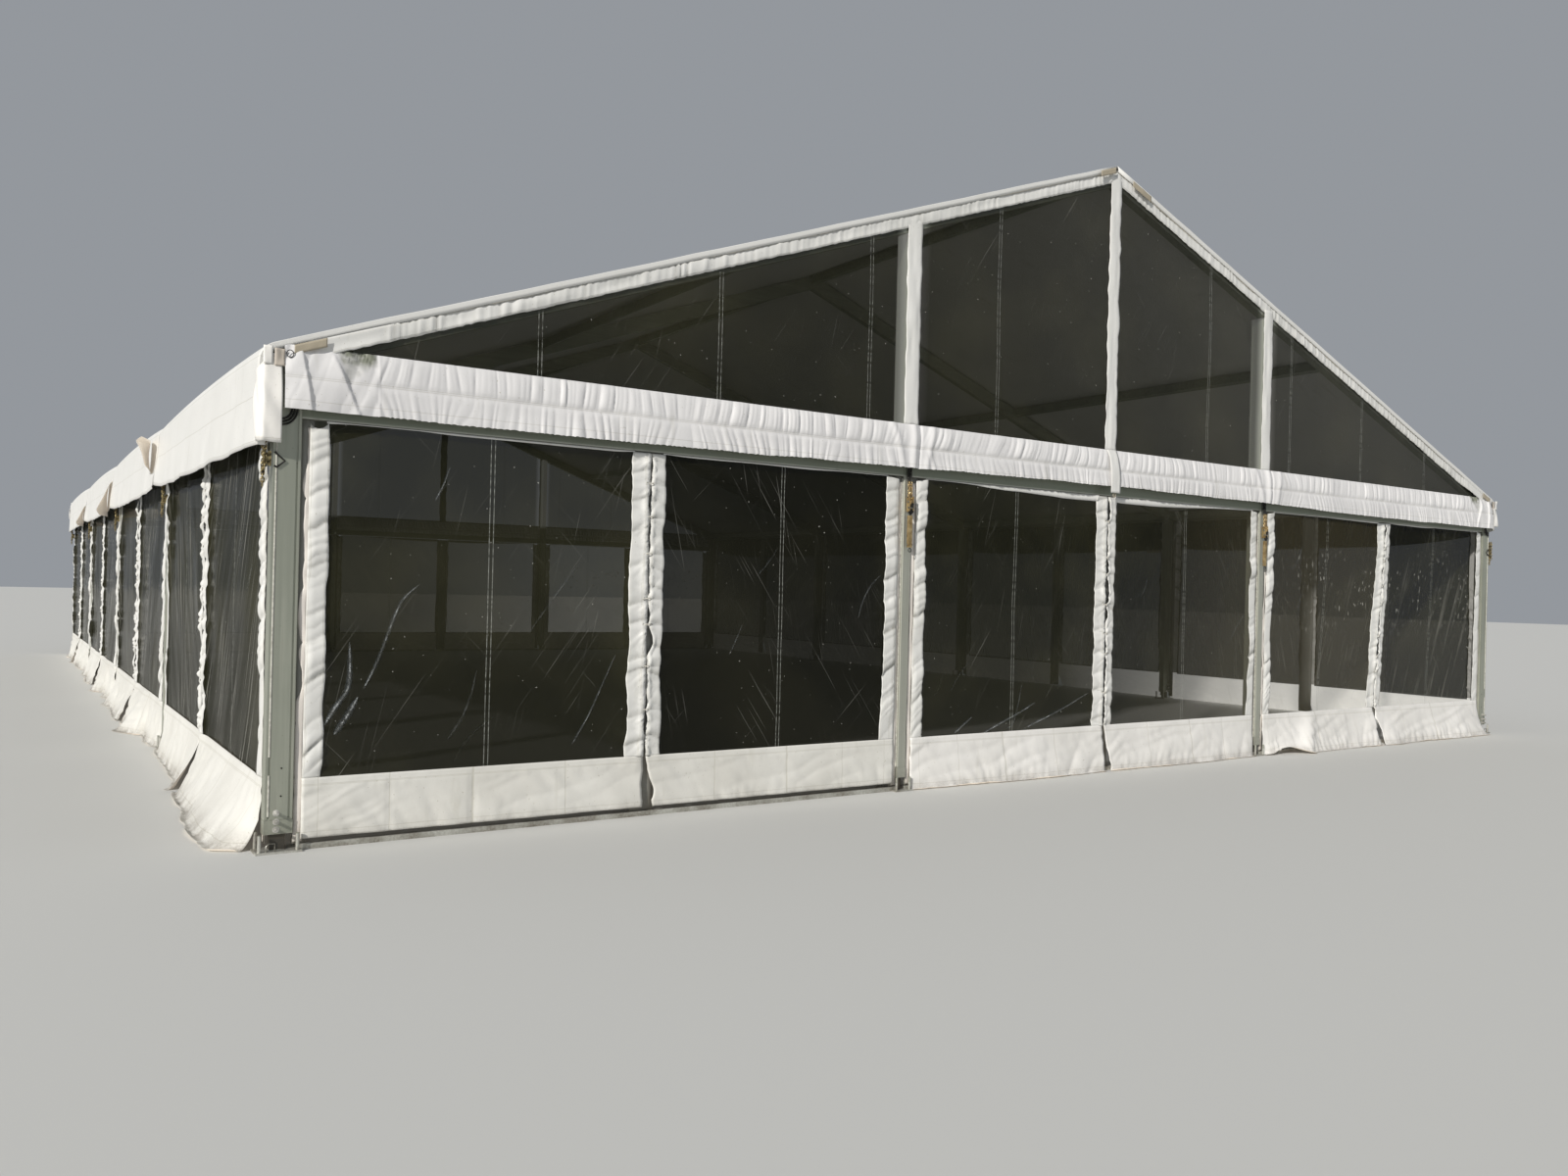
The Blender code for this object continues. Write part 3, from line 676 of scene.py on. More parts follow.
def film(name, alpha_low, shine, streaks=0.5, lean=0.6, drips_and_highlights=0.0, clear=0.0, newer=None,
         dark=None, glint_patch=None, mist=None):
    """Clear film, painted near black and mostly opaque as shade for the dim inside behind it; scuffs and
    welds are paler, and the scuffs and drips also serve as painted highlights on its wrinkles.
    Newer film gives the places in X between which it clears, and the alpha it clears to;
    dark names the panel between two places in X that is painted darker as a dark reflection, glint_patch
    the places in X where pale specks are painted on as sun glints, and mist where it grows dull, is dullest
    and ends."""
    material, tree, shader = new_material(name, IOR=1.42, Specular_IOR_Level=shine)
    flat = uv_place(tree)
    seams = axes_of(tree, uv_place(tree, "seams"))
    welds = calc(tree, "MAXIMUM",
                 *(seam_mask(tree, seams[0], edge, 0.0035) for edge in (WELD_HALF, -WELD_HALF)))
    patchy = faded(tree, speckle(tree, stretched(tree, flat, (2.0, 30.0, 1.0)), 1.0), 0.3, 0.6)
    welds = times(tree, welds, patchy)
    # Pale scratch lines at three leans, which also stand in as painted highlights on the film's wrinkles.
    scuffs_and_highlights = 0.0
    for turn, low in ((lean, 0.64), (-lean * 1.3, 0.69), (lean * 0.35, 0.66)):
        long_noise = speckle(tree, stretched(tree, flat, (0.9, 60.0, 1.0), math.pi / 2 - turn), 1.0, 2.0)
        scuffs_and_highlights = calc(tree, "MAXIMUM", faded(tree, long_noise, low, low + 0.09), scuffs_and_highlights)
    where = faded(tree, speckle(tree, flat, 1.3, 2.0), 0.47, 0.70)
    scuffs_and_highlights = times(tree, scuffs_and_highlights, where, streaks)
    dots = times(tree, faded(tree, speckle(tree, flat, 40.0, 1.0), 0.765, 0.80), 0.5)
    marks = calc(tree, "MAXIMUM", scuffs_and_highlights, dots)
    along = axes_of(tree, object_place(tree))[0]
    height = axes_of(tree, flat)[1]
    # Painted highlights: steep pale streaks for the film's fine wrinkles catching the light.
    if drips_and_highlights:
        streak_noise = speckle(tree, stretched(tree, flat, (25.0, 0.8, 1.0), 0.20), 1.0, 2.0)
        some = faded(tree, speckle(tree, flat, 1.6, 2.0), 0.34, 0.60)
        streak_noise = times(tree, faded(tree, streak_noise, 0.555, 0.72), some)
        marks = calc(tree, "MAXIMUM", times(tree, streak_noise, drips_and_highlights), marks)
    # Painted glints: pale specks over one patch of the film, for the sun glinting on it.
    if glint_patch:
        glint_specks = speckle(tree, stretched(tree, flat, (26.0, 11.0, 1.0), 0.1), 1.0, 1.0)
        some = faded(tree, speckle(tree, flat, 1.9, 2.0), 0.42, 0.55)
        around = times(tree, faded(tree, along, *glint_patch), faded(tree, height, 1.15, 1.65),
                       faded(tree, height, 2.40, 2.05), some)
        glint_specks = times(tree, faded(tree, glint_specks, 0.635, 0.70), around, 0.55)
        marks = calc(tree, "MAXIMUM", glint_specks, marks)
    haze = times(tree, faded(tree, speckle(tree, flat, 0.9, 3.0), 0.45, 0.75), 0.3)
    tone = mixed(tree, haze, FILM_DARK, FILM_HAZE)
    if mist:
        grows, dullest, ends_at = mist
        dull = times(tree, faded(tree, along, grows, dullest), faded(tree, along, ends_at, ends_at - 0.3))
        tone = mixed(tree, times(tree, dull, 0.48), tone, FILM_MIST)
    # Painted reflection: this panel is painted near black and more opaque, for a dark reflection in it.
    if dark:
        inside = times(tree, faded(tree, along, dark[0], dark[0] + 0.02),
                       faded(tree, along, dark[1], dark[1] - 0.02))
        tone = mixed(tree, times(tree, inside, 0.6), tone, (0.003, 0.003, 0.002))
    tone = mixed(tree, welds, tone, FILM_WELD)
    tone = mixed(tree, marks, tone, FILM_SCRATCH_AND_HIGHLIGHT)
    tree.links.new(tone, shader.inputs["Base Color"])
    solid = calc(tree, "MAXIMUM", marks, times(tree, welds, 0.8))
    if newer:
        alpha_low = node(tree, "MapRange", {0: along, 1: newer[0], 2: newer[1], 3: alpha_low,
                                            4: newer[2]}).outputs[0]
    if dark:
        alpha_low = node(tree, "MapRange", {0: inside, 3: alpha_low, 4: 0.91}).outputs[0]
    beside = times(tree, faded(tree, seams[1], 0.19, 0.11), clear)
    base = times(tree, alpha_low, calc(tree, "SUBTRACT", 1.0, beside))
    alpha = node(tree, "MapRange", {0: solid, 3: base, 4: 0.97}).outputs[0]
    tree.links.new(alpha, shader.inputs["Alpha"])
    rough = node(tree, "MapRange", {0: speckle(tree, flat, 3.0), 3: 0.06, 4: 0.2}).outputs[0]
    tree.links.new(rough, shader.inputs["Roughness"])
    soft = speckle(tree, stretched(tree, flat, (9.0, 2.2, 1.0), lean), 1.0, 2.0)
    bump = node(tree, "Bump", {"Height": soft, "Strength": 0.25, "Distance": 0.012})
    tree.links.new(bump.outputs[0], shader.inputs["Normal"])
    return material


gable_film = film("clear_pvc_gable", GABLE_ALPHA, 0.22, streaks=0.22, clear=0.85)
WALLS = {"front": ((1, 0), (0, -1)), "back": ((-1, 0), (0, 1)), "left": ((0, -1), (-1, 0)),
         "right": ((0, 1), (1, 0))}


def on_wall(wall, along, out, up):
    """Places from distances along a wall, outwards from the middle of the tent, and up."""
    (ax, ay), (ox, oy) = WALLS[wall]
    along, out, up = np.broadcast_arrays(along, out, up)
    return np.stack([ax * along + ox * out, ay * along + oy * out, up], -1).astype(float)


gable_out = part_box("gable_valance_back")[0].y    # outer face of the gable framing
for wall in GABLES:
    seed = 70 if wall == "front" else 71
    weld_places = [side * weld for weld in GABLE_WELDS for side in (-1, 1)]
    along = np.union1d(np.linspace(-GABLE_REACH, GABLE_REACH, 242), weld_places)[None, :]
    share = np.linspace(0, 1, 22)[:, None]
    top = ridge_height(along) - RAFTER_SHOW - 0.02
    up = GABLE_BASE + (top - GABLE_BASE) * share
    nearest = np.min([np.abs(np.abs(along) - weld) for weld in GABLE_WELDS], axis=0)
    slack = np.sin(math.pi * share) * np.minimum(1, (top - GABLE_BASE) / 0.5)
    out = gable_out + 0.004 + 0.010 * slack * ripple((along + 0.6 * up) / 0.5, up / 1.1, seed)
    from_post = np.abs(np.abs(along) - POST_AT)     # the film is clearest beside the posts
    seams = stacked(nearest + 0 * up, from_post + 0 * up)
    patch = on_wall(wall, along, out, up), stacked(along, up), seams
    triangle = sewn(f"gable_film_{wall}", [patch], gable_film, thickness=0)
    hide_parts(f"gable_window_{wall}")


# Rafter bands and post strips
# White PVC sewn round the clear triangles: a gathered band under each rafter and flat
# strips over the posts and the ridge, with a taped edge that runs in the groove.
STRIP_HALF = 0.077
STRIP_PLACES = (-POST_AT, 0.0, POST_AT)
BAND_PITCH = 0.055
VALANCE_HIGH = 3.088
VALANCE_LOW = 2.73
VALANCE_STAND = 0.066    # how far the hem of the valance stands off the rail
TAPE_BEIGE = (0.70, 0.66, 0.58)
# Painted shade for the valleys of the gathered bands and the curtain borders.
FOLD_PAINTED_SHADE = (0.22, 0.215, 0.185)
trim_pvc = pvc("pvc_trim", up=((0.014, 0.003), (0.098, 0.003)),
               across=((0.012, 0.0025), (0.142, 0.0025)), shade_paint=FOLD_PAINTED_SHADE)
tape_pvc = pvc("pvc_tape", white=TAPE_BEIGE, shade=(0.58, 0.54, 0.46))


def valance_stand(fallen):
    """Distance of the valance off the rail, at a share of the way down to its hem."""
    return VALANCE_STAND * (0.25 + 0.75 * np.sin(math.pi * fallen / 1.7) ** 0.8)


def rafter_band(wall, seed):
    along = np.linspace(-7.30, 7.30, 760)[None, :]
    share = np.linspace(0, 1, 7)[:, None]
    up = ridge_height(along) - RAFTER_SHOW - BAND_HEIGHT * (1 - share)
    up = up + 0.004 * ripple(along / 0.03, 0, seed) * (1 - share)
    pucker = folds(along, BAND_PITCH, seed) * np.sin(math.pi * (0.12 + 0.8 * share)) ** 0.5
    drawn = 0.62 + 0.38 * eased(ripple(along / 0.9, 2, seed + 2), -0.5, 0.3)
    drawn = drawn * (1 - eased(np.abs(along), 6.80, 6.92))
    pucker = pucker * drawn
    swell = 0.006 * ripple(along / 0.35, share * 2, seed + 1)
    out = gable_out + 0.008 + 0.019 * pucker + swell + 0.026 * eased(np.abs(along), 6.70, 6.95)
    # Painted shade in the valleys of the gathers, carried by the seam distances.
    held = 0.55 * drawn * valleys(along, BAND_PITCH, seed)
    seams = stacked(SHADE_PAINT_FROM + held, BAND_HEIGHT * share)
    return on_wall(wall, along, out, up), stacked(along, up), seams


def post_strip(wall, middle, seed):
    share = np.linspace(0, 1, 11)[None, :]
    top = ridge_height(abs(middle)) - RAFTER_SHOW - 0.5 * BAND_HEIGHT
    up = np.linspace(VALANCE_HIGH - 0.01, top, int((top - VALANCE_HIGH) / 0.028))[:, None]
    loose = 1.0 if middle == 0 else 0.6
    edge = 0.010 * loose * ripple(up / 0.11, share.round() * 7, seed)
    along = middle + (share - 0.5) * 2 * STRIP_HALF + edge * np.sign(share - 0.5)
    wave = folds(up + 0.5 * along, 0.17, seed + 2) * 0.010 * loose
    wave = wave + 0.005 * ripple(along / 0.04, up / 0.25, seed + 3)
    out = gable_out + 0.014 + wave + 0.004 * np.sin(math.pi * share)
    return on_wall(wall, along, out, up), stacked(along, up), stacked(share * 2 * STRIP_HALF, FAR + 0 * up)


def valance_strip(wall, seed):
    """Lower end of the middle strip, over the valance to its hem."""
    share = np.linspace(0, 1, 7)[None, :]
    up = np.linspace(2.672, 3.09, 22)[:, None]
    along = (share - 0.5) * 1.7 * STRIP_HALF + 0.004 * ripple(up / 0.08, share.round() * 5, seed)
    stand = valance_stand(np.clip((VALANCE_HIGH - up) / (VALANCE_HIGH - VALANCE_LOW), 0, 1))
    out = gable_out + 0.030 + stand + 0.004 * ripple(along / 0.03, up / 0.12, seed + 3)
    out = out - 0.012 * eased(up, 3.0, 3.09)
    return on_wall(wall, along, out, up), stacked(along, up), stacked(share * 2 * STRIP_HALF, FAR + 0 * up)


def rafter_tape(wall, seed):
    """Taped top edge of the band, in the groove of the rafter."""
    along = np.linspace(-7.42, 7.42, 320)[None, :]
    share = np.linspace(0, 1, 4)[:, None]
    up = ridge_height(along) - 0.036 + 0.045 * share + 0.002 * ripple(along / 0.12, 0, seed)
    out = gable_out + 0.010 + 0.005 * np.sin(math.pi * share) + 0.002 * ripple(along / 0.09, share, seed)
    return on_wall(wall, along, out, up), stacked(along, up), seamless(up)


for wall in GABLES:
    seed = 80 if wall == "front" else 90
    patches = [rafter_band(wall, seed)]
    for number, middle in enumerate(STRIP_PLACES):
        patches.append(post_strip(wall, middle, seed + 4 * number))
    patches.append(valance_strip(wall, seed + 17))
    trim = sewn(f"gable_bands_{wall}", patches, trim_pvc)
    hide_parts(f"gable_trim_{wall}")
    tape = sewn(f"rafter_tape_{wall}", [rafter_tape(wall, seed)], tape_pvc)


# Gable valances
# A double width of white PVC across each gable, gathered on the rail in two tiers that
# a seam divides, with a rope in its serrated hem.
VALANCE_SEAM = 2.885
VALANCE_WHITE = (0.775, 0.765, 0.762)
VALANCE_GREY = (0.66, 0.65, 0.652)
VALANCE_END = 7.452
VALANCE_COLUMNS = 2100
CORNER_SEAM = 6.89       # upright seam where the gathers stop, short of each corner
TUCKS = ((7.295, 0.16), (7.024, 0.42))   # place at the hem and lean of the two corner tucks
valance_pvc = pvc("pvc_valance", white=VALANCE_WHITE, shade=VALANCE_GREY,
                  up=((0.155, 0.003), (0.167, 0.0025), (0.018, 0.003)))


def gable_valance(wall, seed):
    along = np.linspace(-VALANCE_END, VALANCE_END, VALANCE_COLUMNS)[None, :]
    share = np.linspace(0, 1, 23)[:, None]
    away = np.abs(along)
    top = np.minimum(VALANCE_HIGH, ridge_height(along) - 0.02)
    serrated = 0.007 * folds(along, 0.045, seed) - 0.004 + 0.006 * ripple(along / 0.4, 0, seed + 9)
    up = VALANCE_LOW + serrated * (1 - eased(away, CORNER_SEAM, CORNER_SEAM + 0.03))
    up = up + 0.006 - 0.042 * eased(away, 0.6, 5.4)          # sags towards the corners
    up = up + (top - up) * share
    rise = up - VALANCE_LOW
    # Two tiers of pleats, their lean and depth drifting along the gable
    drift = 0.45 * ripple(along / 0.7, 1, seed + 12) + 0.25 * ripple(along / 0.16, 4, seed + 13)
    depth = 0.45 + 0.55 * eased(ripple(along / 0.45, 6, seed + 14), -0.6, 0.5)
    low_t = along + drift * (rise - 0.185)
    lower = 0.015 * folds(low_t, 0.064, seed, 0.6) + 0.008 * folds(low_t + 0.3, 0.115, seed + 2, 1.2)
    below = VALANCE_SEAM - up
    lower = lower * eased(below, 0.0, 0.035) * (0.55 + 0.45 * eased(below, 0.05, 0.18))
    high_t = along - 0.6 * drift * (rise - 0.185)
    high_t = high_t - (0.42 - 0.30 * eased(np.abs(along + 1.3), 0.6, 2.6)) * rise
    upper = 0.019 * folds(high_t, 0.108, seed + 4, 0.5) + 0.005 * folds(high_t, 0.045, seed + 5, 0.8)
    held = np.clip((up - VALANCE_SEAM) / (VALANCE_HIGH - VALANCE_SEAM), 0.04, 0.96)
    held = np.sin(math.pi * held) ** 0.45
    upper = upper * eased(up - VALANCE_SEAM, 0.0, 0.03) * held
    seam = -0.005 * bump_at(up, VALANCE_SEAM, 0.010)
    drape = 0.014 * ripple((along + 0.8 * up) / 0.34, up / 0.25, seed + 6) * np.sin(math.pi * share)
    calm = 1 - 0.93 * bump_at(away, POST_AT, 0.17) - 0.5 * bump_at(along, 0.0, 0.12)
    # Corner panels: plain cloth with two tucks and a crumpled hollow under the tip of the film
    corner = eased(away, CORNER_SEAM - 0.01, CORNER_SEAM + 0.03)
    plain = 0.006 * ripple((away + 0.4 * rise) / 0.07, rise / 0.30, seed + 8)
    way = away + 0.30 * rise + 0.02 * ripple(rise / 0.1, 3, seed)
    plain = plain + 0.010 * folds(way, 0.125, seed + 15, 0.6)
    plain = plain + 0.008 * ripple((away + 0.5 * rise) / 0.16, rise / 0.5, seed + 10)
    for place, lean in TUCKS:
        past = away - place - lean * rise + 0.006 * ripple(rise / 0.12, 2, seed + 11)
        tuck = 0.016 * np.exp(-np.abs(past) / np.where(past < 0, 0.006, 0.08))
        plain = plain + tuck * (1 - 0.6 * eased(share, 0.7, 1.0))
    low_edge = 3.02 - 0.79 * (away - 6.90) + 0.012 * ripple(away / 0.03, 5, seed)
    hollow = eased(away, 6.893, 6.915) * eased(7.13 - away + 0.30 * (up - 3.0), 0.0, 0.03)
    hollow = hollow * eased(up - low_edge, -0.015, 0.03) * (0.40 + 0.60 * eased(up, 2.99, 3.04))
    plain = plain + hollow * (0.018 * folds(away - 0.9 * rise, 0.045, seed + 3) - 0.014)
    # Where a post stands behind, wide folds run together towards its foot
    slip = along - np.sign(along) * POST_AT
    post_fold = 0.0
    for depth_in, middle, lean, width in ((0.020, -0.012, 0.10, 0.040), (0.013, 0.13, 0.30, 0.035),
                                          (0.013, -0.11, -0.28, 0.040), (-0.010, 0.055, 0.12, 0.012)):
        post_fold = post_fold + depth_in * bump_at(slip, middle + lean * rise, width)
    welt = 0.002 * bump_at(away, CORNER_SEAM, 0.005)
    out = gable_out + 0.006 + (lower + upper) * depth * calm * (1 - corner) + plain * corner
    out = out + seam + drape * (1 - 0.6 * corner) + post_fold + welt
    out = out + valance_stand(1 - share)
    # The crumpled hollow is painted green-grey as shade, through the seam distances.
    seams = stacked(SHADE_PAINT_FROM + hollow * corner, up - VALANCE_LOW)
    return on_wall(wall, along, np.maximum(out, gable_out + 0.003), up), stacked(along, up), seams


for wall in GABLES:
    patch = gable_valance(wall, 110 if wall == "front" else 130)
    valance = sewn(f"gathered_valance_{wall}", [patch], valance_pvc, thickness=0)
    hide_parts(f"gable_valance_{wall}")


# Corner flaps, straps and joint flaps
# Each side valance turns the corner with a flap under two tabs, webbing straps end the
# rafter bands, and the loose ends of the covers stand out at the inner frames.
FLAP_FACE = gable_out + 0.078
FLAP_ROUND = 0.018
FLAP_REACH = 7.466       # inner edge of the flap, from the middle of the tent
FLAP_HEM = 2.484
WEBBING = (0.42, 0.37, 0.28)
STRAP_WIDTH = 0.058
FINS = {-1: ((0.20, 0.09, 2.66, 2.98), (0.02, 0.21, 2.42, 2.88), (0.02, 0.16, 2.44, 2.78)),
        1: ((0.04, 0.15, 2.45, 2.84), (0.16, 0.08, 2.66, 2.96), (0.02, 0.13, 2.44, 2.80))}
# Painted light: the corner flaps are a paler white than the other PVC, for the sun they face.
sunlit_flap_white = pvc("pvc_corner_flaps", white=(0.87, 0.85, 0.81), shade=(0.79, 0.765, 0.725),
                 up=((0.465, 0.003), (0.02, 0.003)), clouding=0.5)
tab_pvc = pvc("pvc_tabs", white=(0.56, 0.50, 0.43), shade=(0.42, 0.37, 0.31))
webbing = pvc("webbing", white=WEBBING, shade=(0.29, 0.25, 0.18))
# Painted light: the undersides glow, standing in for daylight through the cloth.
underside = pvc("pvc_underside", white=(0.80, 0.72, 0.62), shade=(0.66, 0.59, 0.50), glow=0.22)


def ends(wall, side, x, out, up):
    """Place near a gable corner; side is -1 or 1 across the front."""
    return on_wall(wall, side * x if wall == "front" else -side * x, out, up)


def corner_flap(wall, side, seed):
    """From the side of the tent round the corner and across the face of the leg."""
    run = np.linspace(0, 1, 26)[None, :]
    share = np.linspace(0, 1, 18)[:, None]
    length_side, length_face = 0.115, EAVE_OUT + 0.006 - FLAP_REACH
    way = run * (length_side + length_face)
    outer = EAVE_OUT + 0.006
    x = np.minimum(outer, outer - (way - length_side))
    out = np.minimum(FLAP_FACE, FLAP_FACE - (length_side - way))
    x = x - FLAP_ROUND * 0.5 * bump_at(way, length_side, FLAP_ROUND)
    out = out - FLAP_ROUND * 0.5 * bump_at(way, length_side, FLAP_ROUND)
    top = np.minimum(3.02, ridge_height(np.minimum(x, LEG_OUT)) - 0.03 - 1.2 * np.maximum(0, x - LEG_OUT))
    low = FLAP_HEM + 0.004 * ripple(way / 0.05, 0, seed)
    low = low + (DRAWN_UP + 0.02) * (side * (1 if wall == "front" else -1) > 0)
    up = low + (top - low) * share
    pulled = 0.020 * folds(way + 0.55 * (up - 2.5), 0.19, seed, 0.9) * np.sin(math.pi * share) ** 0.5
    pulled = pulled + 0.003 * ripple(way / 0.05, up / 0.14, seed + 1)
    x = x + pulled * (way < length_side)
    out = out + pulled * eased(way, length_side, length_side + 0.03)
    out = out - 0.034 * eased(up, 2.70, 3.0) * eased(way, 0.03, length_side)
    seams = stacked(FAR + 0 * up, up - FLAP_HEM)
    return facing_out((ends(wall, side, x, out, up), stacked(way, up), seams), side > 0)


def tab(wall, side, x0, x1, low, high, seed):
    across = np.linspace(x1, x0, 6)[None, :]
    up = np.linspace(low, high, 10)[:, None]
    out = FLAP_FACE - 0.020 + 0.006 * ripple(across / 0.03, up / 0.05, seed)
    patch = ends(wall, side, across, out, up), stacked(across, up), seamless(up * across)
    patch = facing_out(patch, side > 0)
    return (*patch, True) if x0 > 7.52 else patch       # the outer tab is white


def strap(wall, x0, x1, drop, width=STRAP_WIDTH):
    """Length of webbing along the rafter, its middle below the top edge by drop."""
    x = np.linspace(x0, x1, 24)[None, :]
    share = np.linspace(-0.5, 0.5, 5)[:, None]
    up = ridge_height(x) - drop + width * share
    out = gable_out + 0.052 + 0.003 * ripple(x / 0.05, share, 5)
    return on_wall(wall, x, out, up), stacked(x, up), seamless(up)


def joint_fin(side, frame_y, top_reach, low_reach, low, high, seed):
    """Loose end of the next cover behind a joint, standing out from the eave."""
    hinge = np.linspace(0, 1, 18)[None, :]          # 0 on the wall, 1 at the free edge
    share = np.linspace(0, 1, 16)[:, None]
    reach = low_reach + (top_reach - low_reach) * share
    reach = reach - 0.35 * reach * np.maximum(0, np.abs(2 * share - 1) - 0.7) / 0.3
    open_out = reach * hinge ** 1.5 + 0.010 * ripple(hinge * 3, share * 2, seed) * hinge
    y = frame_y + 0.55 * (1 - hinge) + 0.03 - 0.05 * np.sin(math.pi * share) * hinge
    up = low + (high - low) * share
    out = EAVE_OUT + 0.010 + 0.02 * (1 - hinge) * bump_at(share, 0.5, 0.4) + open_out
    grid = on_wall("right" if side > 0 else "left", side * y, out, up)
    return facing_out((grid, stacked(y, up), seamless(out)), side > 0)


for wall in GABLES:
    seed = 300 if wall == "front" else 310
    flap_patches = [corner_flap(wall, side, seed + side) for side in (-1, 1)]
    tab_patches = [tab(wall, side, *place, seed + side) for side in (-1, 1)
                   for place in ((7.452, 7.512, 2.945, 3.050), (7.522, 7.575, 2.95, 3.06))]
    corner_flaps = sewn(f"corner_flaps_{wall}", flap_patches, sunlit_flap_white)
    corner_tabs = sewn(f"corner_tabs_{wall}", tab_patches, tab_pvc, marked=sunlit_flap_white)
    lengths = ((-7.40, -7.21, 0.062), (7.21, 7.40, 0.062), (-0.26, -0.05, 0.03), (0.20, 0.47, 0.05))
    straps = sewn(f"straps_{wall}", [strap(wall, *length) for length in lengths], webbing)
for side, label in ((-1, "left"), (1, "right")):
    fins = sewn(f"joint_fins_{label}", [joint_fin(side, FRAME_Y[n], *FINS[side][n - 1], 330 + 5 * n + side)
                                        for n in (1, 2, 3)], roof_pvc)
    fins.data.materials.append(underside)
    fins.modifiers["cloth"].material_offset = 1


# Wall curtains
# Each bay hangs from its rail as two curtains: clear film with sewn white borders and
# a white skirt, roped into the posts and laced together in the middle of the bay.
OUTER_BORDER = 0.165
WIDE_BORDER = 0.195      # at the first gable post
SEAM_BORDER = 0.135
FLAP = 0.048             # loose edge of the outer border, between its stitching and the post
WINDOW_LOW = 0.44
LAP = 0.02
TOP_STRIP = 0.016
WIDE_STRIP = 0.046       # hem under the rail in the bays past the first gable post
ROWS = 176
LACE_PITCH = 0.262
SHEET_GAP = 0.003
BORDER_FOLD = 0.028
SKIRT_WHITE = (0.76, 0.75, 0.705)
SKIRT_SHADE = (0.63, 0.615, 0.565)
border_pvc = pvc("pvc_borders", across=((0.012, 0.003), (0.104, 0.0025), (0.112, 0.0025)),
                 soil_top=0.6, soil=0.35, shade_paint=FOLD_PAINTED_SHADE)
flap_pvc = pvc("pvc_flaps", white=(0.76, 0.715, 0.665), shade=(0.60, 0.56, 0.51),
               soil_top=0.5, soil=0.5)
# Painted shade: the rain flaps and the roped edges behind the curtains are painted dark grey for the shade
# in the gaps where they show.
shaded_inner_pvc = pvc("pvc_inner_flap", white=(0.27, 0.27, 0.245), shade=(0.18, 0.18, 0.16),
                soil_top=0.5, soil=0.5)
SKIRT_SEAMS = {"across": ((0.145, 0.003), (0.584, 0.004), (1.13, 0.011), (1.79, 0.005)),
               "up": ((0.05, 0.003), (0.058, 0.0025), (0.395, 0.003))}
skirt_pvc = pvc("pvc_skirts", white=SKIRT_WHITE, shade=SKIRT_SHADE, soil_top=0.16, soil=0.8, **SKIRT_SEAMS)
far_skirt = pvc("pvc_skirts_far", white=(0.80, 0.785, 0.755), shade=(0.70, 0.685, 0.65),
                soil_top=0.12, soil=0.6, **SKIRT_SEAMS)
# Painted light: the right wall's undersides glow strongly near the front, as a pool of sun through the
# front windows, the back ones barely.
sunny_underside = pvc("pvc_underside_sunny", white=(0.80, 0.79, 0.755), shade=(0.72, 0.71, 0.67),
                      glow=0.72, glow_run=(-6.6, -2.6, 0.10))
dim_underside = pvc("pvc_underside_dim", white=(0.60, 0.57, 0.50), shade=(0.50, 0.47, 0.41), glow=0.03)
UNDERSIDES = {"right": sunny_underside, "back": dim_underside}
CURTAIN_ALPHA = 0.83
curtain_film = film("clear_pvc_curtain", CURTAIN_ALPHA, 0.17, streaks=0.24, newer=(-1.2, 3.6, 0.40),
                    dark=(-5.03, -POST_AT), glint_patch=(POST_AT, 3.4), mist=(0.6, 3.2, 5.1))
side_film = film("clear_pvc_side", 0.90, 0.008, streaks=0.20, lean=0.4, drips_and_highlights=0.29)


def crease_highlight_material():
    """Painted highlight along the ridge of a fold in the film: pale at the crest, with a faint bluish
    painted reflection round it; its seams UV runs from edge to edge.
    """
    material, tree, shader = new_material("film_crease_highlights", Roughness=0.28)
    flat = uv_place(tree)
    over, strength = axes_of(tree, uv_place(tree, "seams"))[:2]
    off_crest = calc(tree, "ABSOLUTE", over)
    crest = faded(tree, off_crest, 0.55, 0.0)
    halo = times(tree, faded(tree, off_crest, 1.0, 0.2), 0.22)
    broken = faded(tree, speckle(tree, flat, 14.0, 3.0), 0.42, 0.60)
    grain = faded(tree, speckle(tree, flat, 120.0, 2.0), 0.30, 0.65)
    whole = calc(tree, "MAXIMUM", times(tree, crest, broken), halo)
    whole = times(tree, whole, grain, strength)
    tree.links.new(mixed(tree, crest, (0.30, 0.36, 0.42), (0.80, 0.82, 0.82)), shader.inputs["Base Color"])
    tree.links.new(whole, shader.inputs["Alpha"])
    return material


crease_highlights = crease_highlight_material()
CREASES = {               # measured ones: along and up, with width and strength of the painted highlight
    ("front", 1, 0): (
        (((-7.16, 0.762), (-7.10, 0.87), (-7.018, 0.969), (-7.012, 1.10), (-7.019, 1.277)), 0.020, 1.0),
        (((-6.927, 0.98), (-6.846, 1.14), (-6.79, 1.303), (-6.709, 1.549), (-6.588, 1.647)), 0.014, 0.7),
        (((-7.10, 0.70), (-7.03, 0.80), (-6.96, 0.93)), 0.024, 0.8),
        (((-6.41, 2.42), (-6.45, 2.30), (-6.50, 2.20)), 0.010, 0.5),
        (((-5.497, 0.554), (-5.381, 0.742), (-5.178, 1.176)), 0.010, 0.6)),
    ("front", 2, 0): (
        (((-1.577, 0.427), (-1.093, 0.607), (-0.909, 0.684)), 0.012, 0.9),
        (((-1.055, 0.449), (-0.594, 0.6), (-0.214, 0.748)), 0.012, 0.8),
        (((-1.891, 0.454), (-1.693, 0.583)), 0.014, 0.8)),
}


